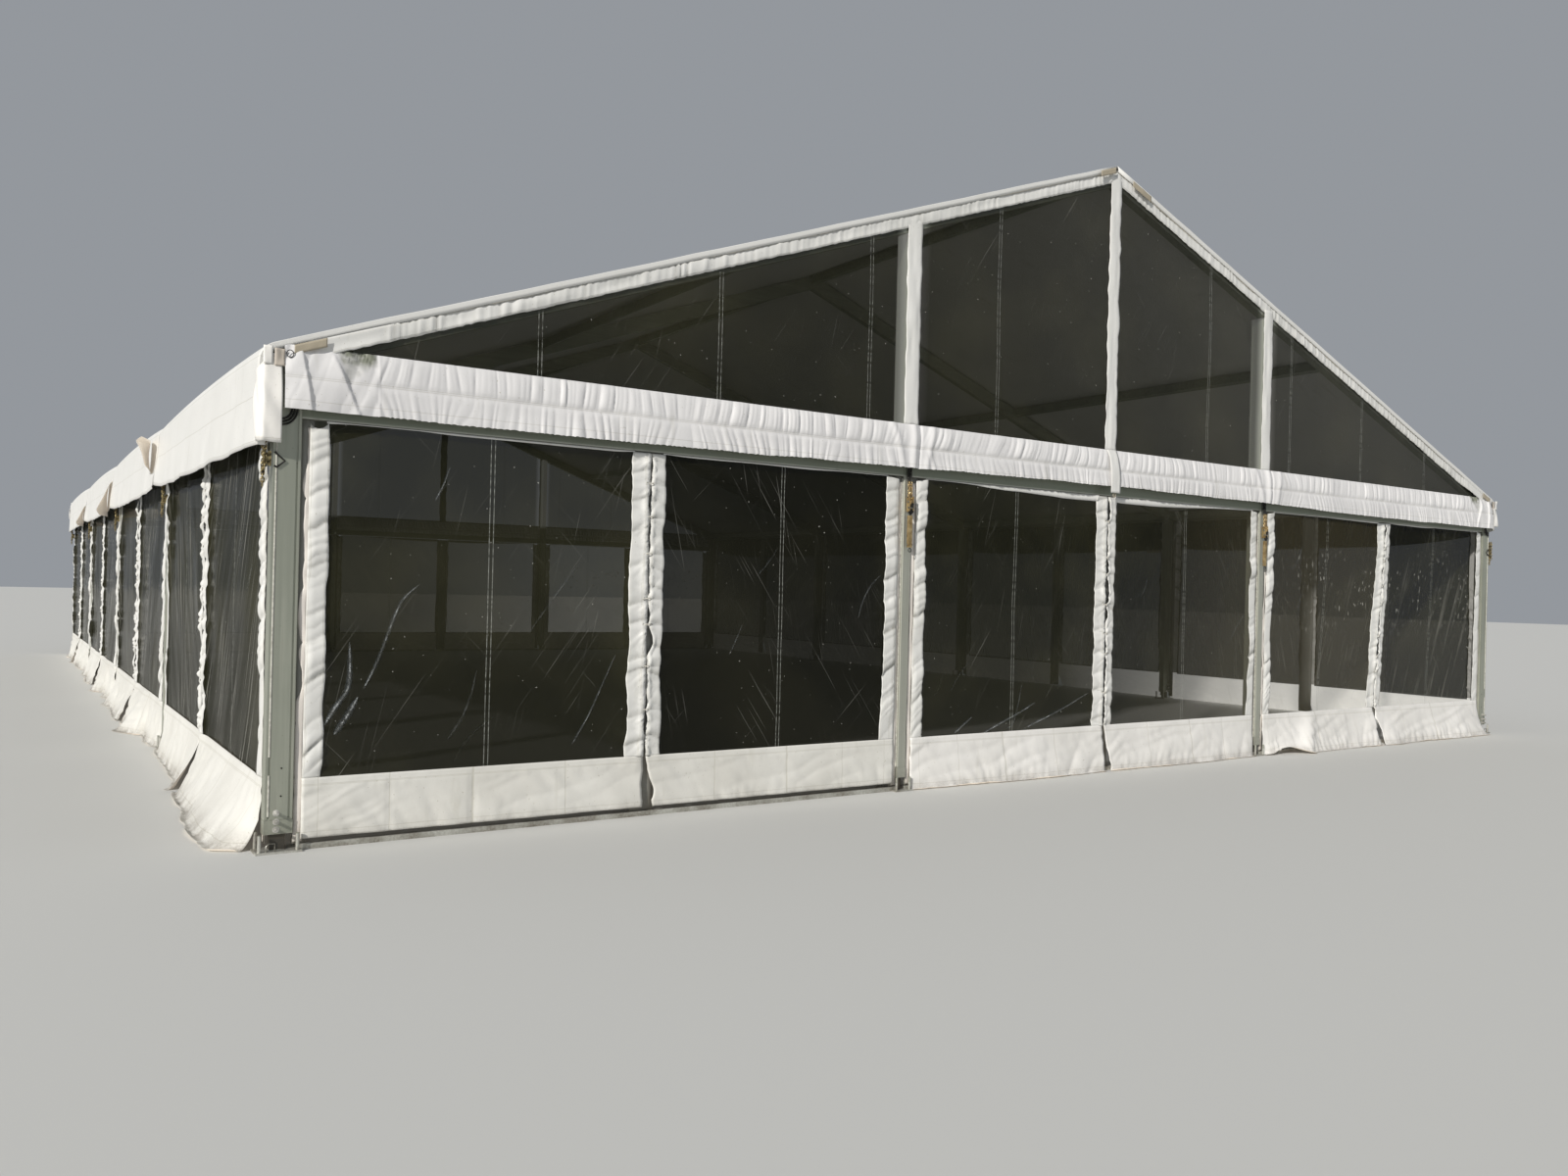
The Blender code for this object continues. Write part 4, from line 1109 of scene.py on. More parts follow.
class Half:
    """One curtain of a bay: distances across run from the post to the laced seam."""

    def __init__(self, wall, number, side):
        low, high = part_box(f"window_{wall}_{number}")
        (ax, ay), (ox, oy) = WALLS[wall]
        alongs = sorted((ax * low.x + ay * low.y, ax * high.x + ay * high.y))
        outs = sorted((ox * low.x + oy * low.y, ox * high.x + oy * high.y))
        self.wall, self.number, self.side = wall, number, side
        self.start, self.end = alongs
        self.width = (self.end - self.start) / 2
        self.plane = outs[1] + 0.008
        self.top = high.z
        self.gable = wall in GABLES
        self.outer = WIDE_BORDER if self.gable and number == 1 and side == 1 else OUTER_BORDER
        self.inner = SEAM_BORDER + (0.014 if side == 0 else -0.012)
        self.skew = -0.16 if (wall, number) == ("front", 3) else 0.0
        self.tag = (wall, number, side)
        self.drawn = 0.32 if self.tag == ("left", 1, 1) else 0.0
        self.seed = 200 + 40 * list(WALLS).index(wall) + 6 * number
        self.own = self.seed + 3 * side

    def along_wall(self, across, up):
        """Distance along the wall; a slack bay hangs askew between its posts."""
        along = self.start + across if self.side == 0 else self.end - across
        share = np.clip((along - self.start) / (self.end - self.start), 0, 1)
        return along + self.skew * eased(2.6 - up, 0.0, 2.3) * np.sin(math.pi * share)

    def place(self, across, out, up):
        grid = on_wall(self.wall, self.along_wall(across, up), self.plane + out, up)
        return grid if self.side == 0 else grid[:, ::-1]

    def flat_place(self, across, up):
        """Flat place of the cloth, kept apart from that of every other curtain."""
        apart = 3.0 * self.side + 7.0 * self.number + 0.45 * (self.seed // 40)
        return stacked(across + self.drawn * up + apart, up)

    def patch(self, across, out, up, seams):
        """Patch with its UVs; a mirrored half is turned round so that it still faces out."""
        flat = self.flat_place(across, up)
        if self.side == 1:
            flat, seams = flat[:, ::-1], seams[:, ::-1]
        return self.place(across, out, up), flat, seams

    def lace(self, up):
        """0 where the seam is laced tight, up to 1 where it gapes between two laces."""
        return folds(up, LACE_PITCH, self.seed, 0.8)

    def from_lace(self, up):
        """Height over the nearest lace."""
        near = np.round(np.asarray(up) / LACE_PITCH)
        offs = np.stack([up - fold_edge(near + step, LACE_PITCH, self.seed) for step in (-1, 0, 1)])
        return np.take_along_axis(offs, np.abs(offs).argmin(0)[None], 0)[0]

    def seam_edge(self, up):
        """Edge of this half at the laced seam."""
        gape = 0.024 if self.side == 0 else 0.046
        gape = gape * (0.10 + 0.90 * eased(ripple(up / 0.27, 9 + 4 * self.side, self.seed), -0.55, 0.35))
        parted = (0.01 if self.side == 0 else 0.09) * eased(0.56 - up, 0.0, 0.5)
        wave = 0.004 * ripple(up / 0.05, 0, self.own) + (0.008 if self.side == 0 else -0.001)
        return self.width - 0.003 - gape * self.lace(up) - parted * self.parting() + wave

    def parting(self):
        return 0.55 + 0.45 * float(dice(self.number, 5, self.seed))

    def calm(self, up):
        """0.25 where the outer border hangs smooth, 1 where it is drawn into folds."""
        drawn = 0.25 + 0.75 * eased(ripple(up / 0.42, 1.5, self.own + 1), -0.55, 0.25)
        return np.maximum(drawn, bump_at(up, 0.58, 0.15) * (self.tag == ("front", 1, 0)))

    def outer_run(self, across, up):
        """Distance across the slanting folds of the outer border."""
        slant = (0.45 + 0.65 * eased(1.5 - up, 0.0, 1.1)) * (1.0 if self.side == 0 else -0.85)
        return up - slant * across + 0.012 * ripple(across / 0.05, up / 0.10, self.own + 23)

    def fold_shade(self, across, up):
        """Painted shade held in the folds of both borders, from 0 to 1."""
        outer = self.calm(up) * np.maximum(valleys(self.outer_run(across, up), 0.235, self.own),
                                           0.45 * valleys(self.outer_run(across, up), 0.083, self.own + 20))
        back = np.maximum(self.width - across, 0)
        over = self.from_lace(up)
        fan = valleys(over / (back + 0.03) + 0.7, 0.85, self.own + 2) * bump_at(over, 0, 0.12)
        drawn = 0.55 * valleys(up + 0.3 * back, 0.205, self.own + 21)
        inner = np.maximum(fan * np.exp(-back / 0.14), drawn)
        return np.where(across < self.width / 2, outer, inner)

    def fold_out(self, across, up):
        """Sharp valleys with smooth cloth between on the outer border, fans at the laces."""
        run = self.outer_run(across, up)
        outer = self.calm(up) * folds(run, 0.235, self.own, 0.42)
        outer = outer + 0.30 * folds(run, 0.083, self.own + 20, 0.8) * eased(self.calm(up), 0.3, 0.9)
        outer_reach = eased(across, 0.02, 0.09) * np.exp(-np.maximum(0, across - self.outer) / 0.05)
        back = self.width - across
        over = self.from_lace(up)
        inside = np.maximum(back, 0)
        fan = folds(over / (inside + 0.03) + 0.7, 0.85, self.own + 2, 0.7) * bump_at(over, 0, 0.13)
        inner = 0.55 * folds(up + 0.3 * back, 0.205, self.own + 21, 0.5)
        inner = inner + 1.1 * fan * np.exp(-inside / 0.11)
        inner = inner + 0.14 * ripple(up / 0.035, back / 0.08, self.own + 22)
        inner_reach = eased(back, -0.01, 0.03) * np.exp(-np.maximum(0, back - self.inner) / 0.05)
        over_film = eased(across, 0.2, 0.6) * eased(back, 0.15, 0.5)
        sway = 0.010 * ripple(across / 0.7, up / 0.8, self.own + 4) * over_film
        ridge = 0.003 * ripple((across + 0.6 * up) / 0.12, (up - across) / 0.9, self.own + 5)
        deep = BORDER_FOLD * (1.0 if self.gable else 1.35)
        return deep * (outer * outer_reach + inner * inner_reach) + sway + ridge * (0.3 + 0.7 * over_film)

    def border_patches(self):
        up = np.linspace(WINDOW_LOW - 0.002, self.top - 0.012, ROWS)[:, None]
        share = np.linspace(0, 1, 11)[None, :]
        # Outer border, its top cut in a shallow arc under the rail
        edge = self.outer + 0.004 * ripple(up / 0.09, 0, self.own + 6)
        edge = edge + 0.007 * ripple(up / 0.22, 2, self.own + 6)
        across = FLAP + (edge - FLAP) * share
        scooped = self.gable and self.number == 1 and self.side == 0
        notch = 0.016 * (1 - share) + (0.032 * (1 - (2 * share - 1) ** 2) if scooped else 0.0)
        height = up - notch * eased(up, self.top - 0.25, self.top)
        out = self.fold_out(across, height) + SHEET_GAP
        # The folds' valleys carry painted shade through the seam distances.
        seams = stacked(edge - across, SHADE_PAINT_FROM + self.fold_shade(across, height))
        yield self.patch(across, out, height, seams)
        # Border at the laced seam, rolled along its free edge
        inner_width = self.inner + 0.004 * ripple(up / 0.07, 3, self.own + 7)
        inner_width = inner_width + 0.013 * ripple(up / 0.17, 5, self.own + 7)
        free = self.seam_edge(up)
        across = self.width - inner_width + (free - self.width + inner_width) * share
        roll = (0.018 if self.side == 0 else 0.011) * bump_at(share, 0.82, 0.14)
        roll = roll * (0.4 + 0.6 * self.lace(up))
        roll = roll * (0.6 + 0.4 * ripple(up / 0.06, 11, self.own)) + 0.010 * (self.side == 0) * share ** 4
        out = self.fold_out(across, up) + SHEET_GAP + roll
        seams = stacked(across - self.width + inner_width, SHADE_PAINT_FROM + self.fold_shade(across, up))
        yield self.patch(across, out, up, seams)
        # Narrow hem under the rail
        across = np.linspace(self.outer - LAP, self.width - self.inner + LAP, 60)[None, :]
        tall = TOP_STRIP * (0.35 + 0.65 * eased(ripple(across / 0.5, 0, self.own + 8), -0.4, 0.5))
        if self.gable and self.number == 2:
            tall = 0.7 * tall + WIDE_STRIP * eased(across, 0.3, 0.75 * self.width)
        height = self.top - 0.004 - tall * np.linspace(1, 0, 3)[:, None]
        out = self.fold_out(across, height) + SHEET_GAP
        yield self.patch(across, out, height, seamless(out))

    def flap_patch(self):
        up = np.linspace(0.05, self.top - 0.05, ROWS)[:, None]
        share = np.linspace(0, 1, 4)[None, :]
        scallop = folds(up, 0.26, self.own + 9, 0.5) * (1.0 if self.deep_flap() else 0.25)
        scallop = scallop * eased(ripple(up / 0.35, 7, self.own + 9), -0.8, 0.0)
        edge = 0.040 if self.deep_flap() else 0.016
        edge = edge - 0.030 * eased(1.0 - up, 0, 0.2) * (self.tag == ("front", 1, 0))
        edge = edge - 0.036 * scallop + 0.003 * ripple(up / 0.05, 1, self.own)
        edge = np.maximum(edge, 0.004)
        across = edge + (FLAP + 0.01 - edge) * share
        out = 0.004 * ripple(up / 0.1, share, self.own + 4) - 0.006 * (1 - share)
        return self.patch(across, out, up, seamless(across))

    def deep_flap(self):
        return (self.number + self.side) % 2 == 1 and self.gable

    def film_patch(self):
        span = (1 - np.cos(np.linspace(0, math.pi, 46))) / 2
        across = (self.outer - LAP + (self.width - self.inner + 2 * LAP - self.outer) * span)[None, :]
        up = np.linspace(WINDOW_LOW - LAP, self.top - 0.004, 90)[:, None]
        out = self.fold_out(across, up) - SHEET_GAP
        return self.patch(across, out, up, stacked(across - self.width / 2 - 0.02, FAR + 0 * up))

    def creases(self):
        """Ridges pressed into the film, as narrow strips on it painted with highlights."""
        for path, half_width, strength in CREASES.get(self.tag, ()):
            places = [(x - self.start if self.side == 0 else self.end - x, z) for x, z in path]
            yield self.crease(places, half_width, strength)
        for k in range(3):
            draws = [float(dice(k, n, self.own + 30)) for n in range(7)]
            across = self.width * (0.50 + 0.36 * draws[0])
            up = 1.35 + 0.85 * draws[1]
            angle = math.radians(58 + 16 * draws[2])
            way = -1 if self.side == 1 else 1
            length = 0.16 + 0.12 * draws[3]
            places = []
            for t in (-1.0, -0.35, 0.35, 1.0):
                bend = 0.03 * draws[4] * (1 - t * t)
                places.append((across + way * (length * t * math.cos(angle) - bend),
                               up + length * t * math.sin(angle) + bend))
            places = [(min(max(a, 0.20), self.width - 0.18), min(max(z, 0.47), 2.58)) for a, z in places]
            yield self.crease(places, 0.009 + 0.004 * draws[5], 0.24 + 0.20 * draws[6])

    def crease(self, path, half_width, strength):
        steps = np.linspace(0, len(path) - 1, 26)
        across = np.interp(steps, range(len(path)), [place[0] for place in path])
        up = np.interp(steps, range(len(path)), [place[1] for place in path])
        for _ in range(9):          # rounds the corners of the path
            across[1:-1] = (across[:-2] + 2 * across[1:-1] + across[2:]) / 4
            up[1:-1] = (up[:-2] + 2 * up[1:-1] + up[2:]) / 4
        run = np.linspace(0, 1, 26)
        lean_a, lean_u = np.gradient(across), np.gradient(up)
        size = np.hypot(lean_a, lean_u) + 1e-9
        wide = half_width * (0.15 + np.sqrt(4 * run * (1 - run))) * (1 + 0.3 * ripple(run * 5, 1, self.own))
        over = np.array([-1.0, -0.5, 0.0, 0.5, 1.0])[None, :]
        a = across[:, None] + (-lean_u / size * wide)[:, None] * over
        z = up[:, None] + (lean_a / size * wide)[:, None] * over
        out = self.fold_out(a, z) - SHEET_GAP + 0.0015 + 0.005 * (1 - np.abs(over)) ** 1.5
        a, z, out = a[:, ::-1], z[:, ::-1], out[:, ::-1]
        return *self.patch(a, out, z, stacked(over[:, ::-1], strength + 0 * a)), True

    def skirt_patch(self, spreads, hem, lying, depth):
        """Skirt from the window down: leans out to its spread, then lies on the ground."""
        rows = np.linspace(0, 1, 25)[:, None]
        free = self.seam_edge(WINDOW_LOW * (1 - rows))
        share = np.linspace(0, 1, 110)[None, :]
        first = 0.046 if self.gable else 0.012
        across = first + (free - first) * share
        bay = across if self.side == 0 else 2 * self.width - across
        spread = np.interp(bay / (2 * self.width), np.linspace(0, 1, len(spreads)), spreads)
        spread = spread * (1 + 0.12 * ripple(bay / 0.38, 0, self.seed + 11))
        spread = np.maximum(spread * (0.42 + 0.58 * eased(across, 0.0, 0.13)), 0.004)
        # First part of the rows falls to the hem or the ground, the rest lies out on it
        turn = 1.0 if lying == 0 else 0.86
        fall = np.minimum(rows / turn, 1.0)
        rest = np.maximum(rows - turn, 0.0) / (1 - turn + 1e-9)
        belly = 1.35 + 2.2 * np.exp(-across / 0.14)
        up = WINDOW_LOW - (WINDOW_LOW - hem) * fall
        out = spread * fall ** belly + lying * rest * (1 + 0.35 * ripple(bay / 0.30, 3, self.seed + 13))
        curl = 0.5 + 0.5 * ripple(bay / 0.22, 6, self.seed + 14)
        up = up + (0.003 + 0.018 * curl ** 2) * rest ** 2 * (lying > 0)
        # Folds that run down the cloth deepen towards the hem, and slack lies across them
        lean = 0.9 * ripple(bay / 0.7, 8, self.seed + 15)
        broad = folds(bay + lean * (WINDOW_LOW - up), 0.37, self.own + 13, 0.6) - 0.45
        fine = folds(bay + 0.6 * lean * (WINDOW_LOW - up), 0.105, self.own + 17, 0.8) - 0.4
        mask = eased(ripple(bay / 0.5, 4, self.own + 18), -0.1, 0.6)
        creased = 0.9 if self.number == 3 and self.wall == "front" else 0.45
        drawn = broad * (0.35 + 0.65 * mask) + creased * fine * eased(fall, 0.40, 1.0) * (1 - 0.6 * mask)
        if self.tag[:2] == ("front", 1):
            out = out - 0.007 * bump_at(bay, 1.13, 0.012) - 0.005 * bump_at(bay, 0.584, 0.006)
            way = up - 0.48 * bay + 0.02 * ripple(bay / 0.1, up / 0.1, self.own + 28)
            raked = folds(way, 0.075, self.own + 29, 0.6)
            out = out + 0.009 * raked * bump_at(bay, 0.28, 0.34) * np.sin(math.pi * fall) ** 0.6
        out = out + depth * drawn * eased(fall, 0.05, 0.9) * eased(across, 0.0, 0.12)
        way = up - 0.22 * bay + 0.05 * ripple(bay / 0.25, 2, self.own + 24)
        slack = folds(way, 0.13, self.own + 25, 0.55)
        out = out + 0.85 * depth * slack * (1 - 0.8 * mask) * np.sin(math.pi * fall) ** 0.7
        if not self.gable:
            pleats = folds(bay, 0.062, self.own + 26, 0.8) * bump_at(fall * WINDOW_LOW, 0.10, 0.075)
            out = out + 0.010 * pleats * eased(ripple(bay / 0.5, 5, self.own + 27), -0.4, 0.3)
        if self.tag == ("front", 3, 0):
            out = out + 0.085 * bump_at(bay, 1.06 - 0.30 * fall, 0.13) * fall ** 0.8
            up = up + 0.075 * bump_at(bay, 0.43, 0.24) * fall ** 4
        crease = 0.0045 * ripple((bay - 0.8 * fall * WINDOW_LOW) / 0.08, (bay + fall) / 0.5, self.own + 15)
        pinch = 0.005 * folds(across, 0.035, self.own + 16) * bump_at(fall * WINDOW_LOW, 0.075, 0.03)
        start = self.fold_out(across, WINDOW_LOW + 0 * rows) * np.exp(-fall * WINDOW_LOW / 0.06)
        # Loose edge beside the seam curls outwards on one half
        if self.side == 0 and lying and not self.gable:
            out = out + 0.075 * self.parting() * np.exp(-(free - across) / 0.12) * fall ** 1.5
        if self.tag == ("front", 3, 1):      # spreads in front of the last leg
            across = across - 0.12 * np.exp(-across / 0.15) * fall ** 1.5
        out = np.maximum(out + start + crease * eased(fall, 0.0, 0.3) + pinch, 0.0) + SHEET_GAP + 0.001
        run = WINDOW_LOW * fall + lying * rest
        flat, seams = self.flat_place(across, WINDOW_LOW - run), stacked(across, run)
        if self.side == 1:
            flat, seams = flat[:, ::-1], seams[:, ::-1]
        # Rows run downwards here, so they are turned to keep the outside out
        return self.place(across, out, up)[::-1], flat[::-1], seams[::-1]

    def post_patch(self):
        """Roped edge of the curtain, behind its loose flap."""
        up = np.linspace(0.04, self.top - 0.003, 40)[:, None]
        across = 0.002 + 0.075 * np.linspace(0, 1, 3)[None, :] + 0 * up
        return self.patch(across, -0.012 + 0 * across, up, seamless(across))

    def inner_patch(self):
        """Rain flap behind the laced seam."""
        up = np.linspace(0.03, self.top - 0.02, 50)[:, None]
        share = np.linspace(0, 1, 5)[None, :]
        across = self.width - 0.10 + 0.2 * share + 0 * up
        out = -0.016 + 0.006 * ripple(across / 0.06, up / 0.2, self.own)
        return self.patch(across, out, up, seamless(across))


LEFT_SKIRTS = (           # spread of the hem at even steps of each bay, front bay first
    (0.05, 0.09, 0.10, 0.11, 0.12, 0.16, 0.21, 0.24, 0.26, 0.28, 0.25),
    (0.09, 0.17, 0.12, 0.16, 0.20, 0.15, 0.15, 0.25, 0.06, 0.10, 0.05),
    (0.05, 0.13, 0.07, 0.13, 0.18, 0.09, 0.11, 0.17, 0.05, 0.11, 0.05),
    (0.04, 0.08, 0.12, 0.05, 0.09, 0.13, 0.06, 0.11, 0.09, 0.05, 0.04))
FRONT_SKIRTS = (
    (0.010, 0.014, 0.018, 0.014, 0.010),
    (0.030, 0.060, 0.090, 0.060, 0.080, 0.070, 0.040),
    (0.050, 0.130, 0.110, 0.150, 0.120, 0.150, 0.150))
SKIRTS = {                # spreads, height of the hem, cloth on the ground and depth of the folds
    "front": [(FRONT_SKIRTS[0], 0.068, 0.0, 0.013), (FRONT_SKIRTS[1], 0.004, 0.03, 0.024),
              (FRONT_SKIRTS[2], 0.004, 0.04, 0.026)],
    "back": [(FRONT_SKIRTS[1], 0.004, 0.03, 0.018), (FRONT_SKIRTS[2][::-1], 0.004, 0.04, 0.022),
             (FRONT_SKIRTS[1][::-1], 0.004, 0.03, 0.018)],
    "left": [(spreads, 0.004, 0.035, deep)
             for spreads, deep in zip(LEFT_SKIRTS, (0.013, 0.034, 0.038, 0.038))],
    "right": [(spreads[::-1], 0.004, 0.035, 0.030) for spreads in LEFT_SKIRTS],
}

lace_points, lace_along, eyelet_points, eyelet_out = [], [], [], []
for wall, bays in SKIRTS.items():
    for number, (spreads, hem, lying, depth) in enumerate(bays, start=1):
        halves = [Half(wall, number, side) for side in (0, 1)]
        curtain, window = f"curtain_{wall}_{number}", f"window_{wall}_{number}"
        strips = [patch for half in halves for patch in half.border_patches()]
        borders = sewn(f"borders_{wall}_{number}", strips, border_pvc)
        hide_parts(curtain)
        skirts = sewn(f"skirts_{wall}_{number}",
                      [half.skirt_patch(spreads, hem, lying, depth) for half in halves],
                      far_skirt if number > 1 and wall == "front" else skirt_pvc)
        skirts.data.materials.append(UNDERSIDES.get(wall, underside))
        skirts.modifiers["cloth"].material_offset = 1
        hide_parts(curtain)
        flaps = sewn(f"edge_flaps_{wall}_{number}", [half.flap_patch() for half in halves], flap_pvc)
        inner = [halves[0].inner_patch()] + [half.post_patch() for half in halves]
        inner = sewn(f"rain_flap_{wall}_{number}", inner, shaded_inner_pvc)
        panes = [half.film_patch() for half in halves]
        panes += [strip for half in halves for strip in half.creases()]
        panes = sewn(f"film_{wall}_{number}", panes, curtain_film if wall in GABLES else side_film,
                     thickness=0, marked=crease_highlights)
        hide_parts(window)
        left = halves[0]
        for k in range(3, int(left.top / LACE_PITCH) + 1):
            height = float(fold_edge(k, LACE_PITCH, left.seed))
            if WINDOW_LOW < height < left.top - 0.04:
                (ax, ay), (ox, oy) = WALLS[wall]
                middle = left.along_wall(left.width, height)
                lace_points.append(on_wall(wall, middle, left.plane + 0.018, height))
                lace_along.append((ax, ay, 0))
                for half in halves:
                    across = half.width - 0.030
                    raised = float(half.fold_out(across, height)) + 2 * SHEET_GAP
                    along = half.along_wall(across, height)
                    eyelet_points.append(on_wall(wall, along, half.plane + raised, height))
                    eyelet_out.append((ox, oy, 0))


# Lacing of the curtains
# Loops of white cord pass through eyelets in both borders at each gather of the seam.
LACE_SIZES = {"Loop Radius": 0.024, "Cord Radius": 0.0038}


def wire_ring(add, source, ring_size, wire_size):
    """Circle of a ring and the section of its wire."""
    return [add("GeometryNodeCurvePrimitiveCircle", {"Resolution": corners, "Radius": source.outputs[size]})
            for corners, size in ((14, ring_size), (6, wire_size))]


def loop_item(add, source):
    ring, section = wire_ring(add, source, "Loop Radius", "Cord Radius")
    solid = add("GeometryNodeCurveToMesh", {0: ring.outputs[0], 1: section.outputs[0]})
    squeezed = add("GeometryNodeTransform", {0: solid.outputs[0], "Scale": (1.0, 0.7, 1.0)})
    return squeezed.outputs[0]


loop_tree = repeat_tree("lace_loops", LACE_SIZES, loop_item)
cord_white = metal("lacing_cord", (0.70, 0.68, 0.62), (0.48, 0.45, 0.38), 0.6, scale=80.0, shine=0.0)
tilt = [(0.0, 0.25, 1.0)] * len(lace_points)
laces = repeated("curtain_laces", loop_tree, lace_points, tilt, lace_along, cord_white, LACE_SIZES)


# Ratchets, chains and hooks
# Yellow zinc ratchets with black chain tension the gable from its posts, smaller ones
# hold the side valances at every leg, and black wire hooks hang at the corners.
YELLOW_ZINC = (0.66, 0.50, 0.26)
CHAIN_SIZES = {"Link Radius": 0.0125, "Wire Radius": 0.0038}
CHAIN_PITCH = 0.0225
yellow_zinc = metal("yellow_zinc", YELLOW_ZINC, (0.30, 0.20, 0.085), 0.26, scale=26.0, shine=0.75)
# Painted shade: the smaller ratchets at the legs are a darker copy of the yellow zinc, for the shade they
# hang in.
shaded_zinc = metal("shaded_zinc", (0.42, 0.34, 0.17), (0.05, 0.036, 0.014), 0.34, scale=48.0, shine=0.6)


def link_item(add, source):
    ring, section = wire_ring(add, source, "Link Radius", "Wire Radius")
    drawn_out = add("GeometryNodeTransform", {0: ring.outputs[0], "Scale": (1.45, 0.8, 1.0)})
    solid = add("GeometryNodeCurveToMesh", {0: drawn_out.outputs[0], 1: section.outputs[0]})
    return solid.outputs[0]


def wall_frame(wall, along, out, up):
    """Right-handed frame on a wall: X along it, Y up and Z outwards."""
    (ax, ay), (ox, oy) = WALLS[wall]
    turn = Matrix(((ax, 0, ox), (ay, 0, oy), (0, 1, 0))).to_4x4()
    return Matrix.Translation(Vector(on_wall(wall, along, out, up))) @ turn


def box_at(place, x, y, z, size, turn=0.0):
    return place @ Matrix.Translation((x, y, z)) @ Matrix.Rotation(turn, 4, "Z"), size


def rod_at(place, x, y, z, radius, length):
    """Round bar along the wall."""
    return place @ Matrix.Translation((x, y, z)) @ Matrix.Rotation(math.pi / 2, 4, "Y"), (radius, length)


def fitting(name, parts, material, bevel=0.0012):
    """One piece of blocks, which have three sizes, and round bars, which have two."""
    shape = bmesh.new()
    for place, size in parts:
        if len(size) == 3:
            bmesh.ops.create_cube(shape, size=1.0, matrix=place @ Matrix.Diagonal((*size, 1.0)))
        else:
            bmesh.ops.create_cone(shape, cap_ends=True, segments=18, radius1=size[0], radius2=size[0],
                                  depth=size[1], matrix=place)
    mesh = bpy.data.meshes.new(name)
    shape.to_mesh(mesh)
    shape.free()
    mesh.materials.append(material)
    piece = link_up(bpy.data.objects.new(name, mesh))
    edges = piece.modifiers.new("edges", "BEVEL")
    edges.width = bevel
    edges.segments = 2
    edges.limit_method = "ANGLE"
    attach(piece, "root")
    return piece


def bent(name, paths, radius, material):
    """Round bars bent along paths, each a list of places and whether it closes."""
    curve = bpy.data.curves.new(name, "CURVE")
    curve.dimensions = "3D"
    curve.bevel_depth = radius
    curve.bevel_resolution = 2
    curve.use_fill_caps = True
    for places, closed in paths:
        spline = curve.splines.new("POLY")
        spline.points.add(len(places) - 1)
        for point, place in zip(spline.points, places):
            point.co = (*place, 1.0)
        spline.use_cyclic_u = closed
    holder = link_up(bpy.data.objects.new(name, curve))
    mesh = bpy.data.meshes.new_from_object(holder.evaluated_get(bpy.context.evaluated_depsgraph_get()))
    bpy.data.objects.remove(holder)
    mesh.name = name
    mesh.materials.append(material)
    piece = link_up(bpy.data.objects.new(name, mesh))
    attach(piece, "root")
    return piece


def ring_path(place, x, y, z, radius, tall=1.0, steps=16):
    angles = [2 * math.pi * step / steps for step in range(steps)]
    return [place @ Vector((x + radius * math.cos(a), y + radius * tall * math.sin(a), z))
            for a in angles], True


class Chains:
    """Points of chain links with the turn of every other link."""

    def __init__(self):
        self.points, self.facing, self.across = [], [], []

    def hang(self, place, x, z, top, bottom):
        """Chain straight down the wall frame's own X and Z, between two heights."""
        axes = [Vector(place.col[k][:3]) for k in (0, 1, 2)]
        for k in range(max(2, round((top - bottom) / CHAIN_PITCH))):
            swing = 0.002 * float(dice(k, round(100 * x), 7))
            self.points.append(place @ Vector((x + swing, top - CHAIN_PITCH * (k + 0.5), z)))
            turn = axes[2] if k % 2 else axes[0]
            self.facing.append(tuple(turn + 0.35 * float(dice(k, 3, 9)) * axes[0]))
            self.across.append((0.0, 0.0, 1.0))

    def make(self, name, material):
        piece = repeated(name, link_tree, self.points, self.facing, self.across, material, CHAIN_SIZES)


link_tree = repeat_tree("chain_links", CHAIN_SIZES, link_item)
black_chain, zinc_chain, shaded_chain = Chains(), Chains(), Chains()
plates, pins, black_parts, shaded_parts, rings = [], [], [], [], []
posts = [wall_frame(wall, along, gable_out, 0.0) for wall in GABLES for along in (-POST_AT, POST_AT)]
for post in posts:
    for x in (-0.009, 0.011):
        black_chain.hang(post, x, 0.016, 2.76, 2.60)
    for x in (-0.012, 0.012):
        zinc_chain.hang(post, x, 0.026, 2.60, 2.45)
    plates += [box_at(post, x, 2.415, 0.030, (0.004, 0.13, 0.046)) for x in (-0.021, 0.021)]
    plates += [rod_at(post, x, 2.435, 0.036, 0.027, 0.006) for x in (-0.012, 0.012)]
    plates.append(box_at(post, -0.004, 2.185, 0.046, (0.040, 0.27, 0.003)))
    plates += [box_at(post, x, 2.185, 0.036, (0.003, 0.27, 0.020)) for x in (-0.024, 0.016)]
    pins += [rod_at(post, 0.0, y, z, radius, 0.058)
             for y, z, radius in ((2.435, 0.036, 0.010), (2.385, 0.044, 0.009),
                                  (2.475, 0.026, 0.007), (2.075, 0.036, 0.006))]
    black_parts += [box_at(post, -0.006, 2.348, 0.050, (0.044, 0.034, 0.014), 0.7),
                    box_at(post, 0.006, 2.408, 0.054, (0.020, 0.040, 0.010), -0.3)]
    rings.append(ring_path(post, -0.004, 2.028, 0.044, 0.016))
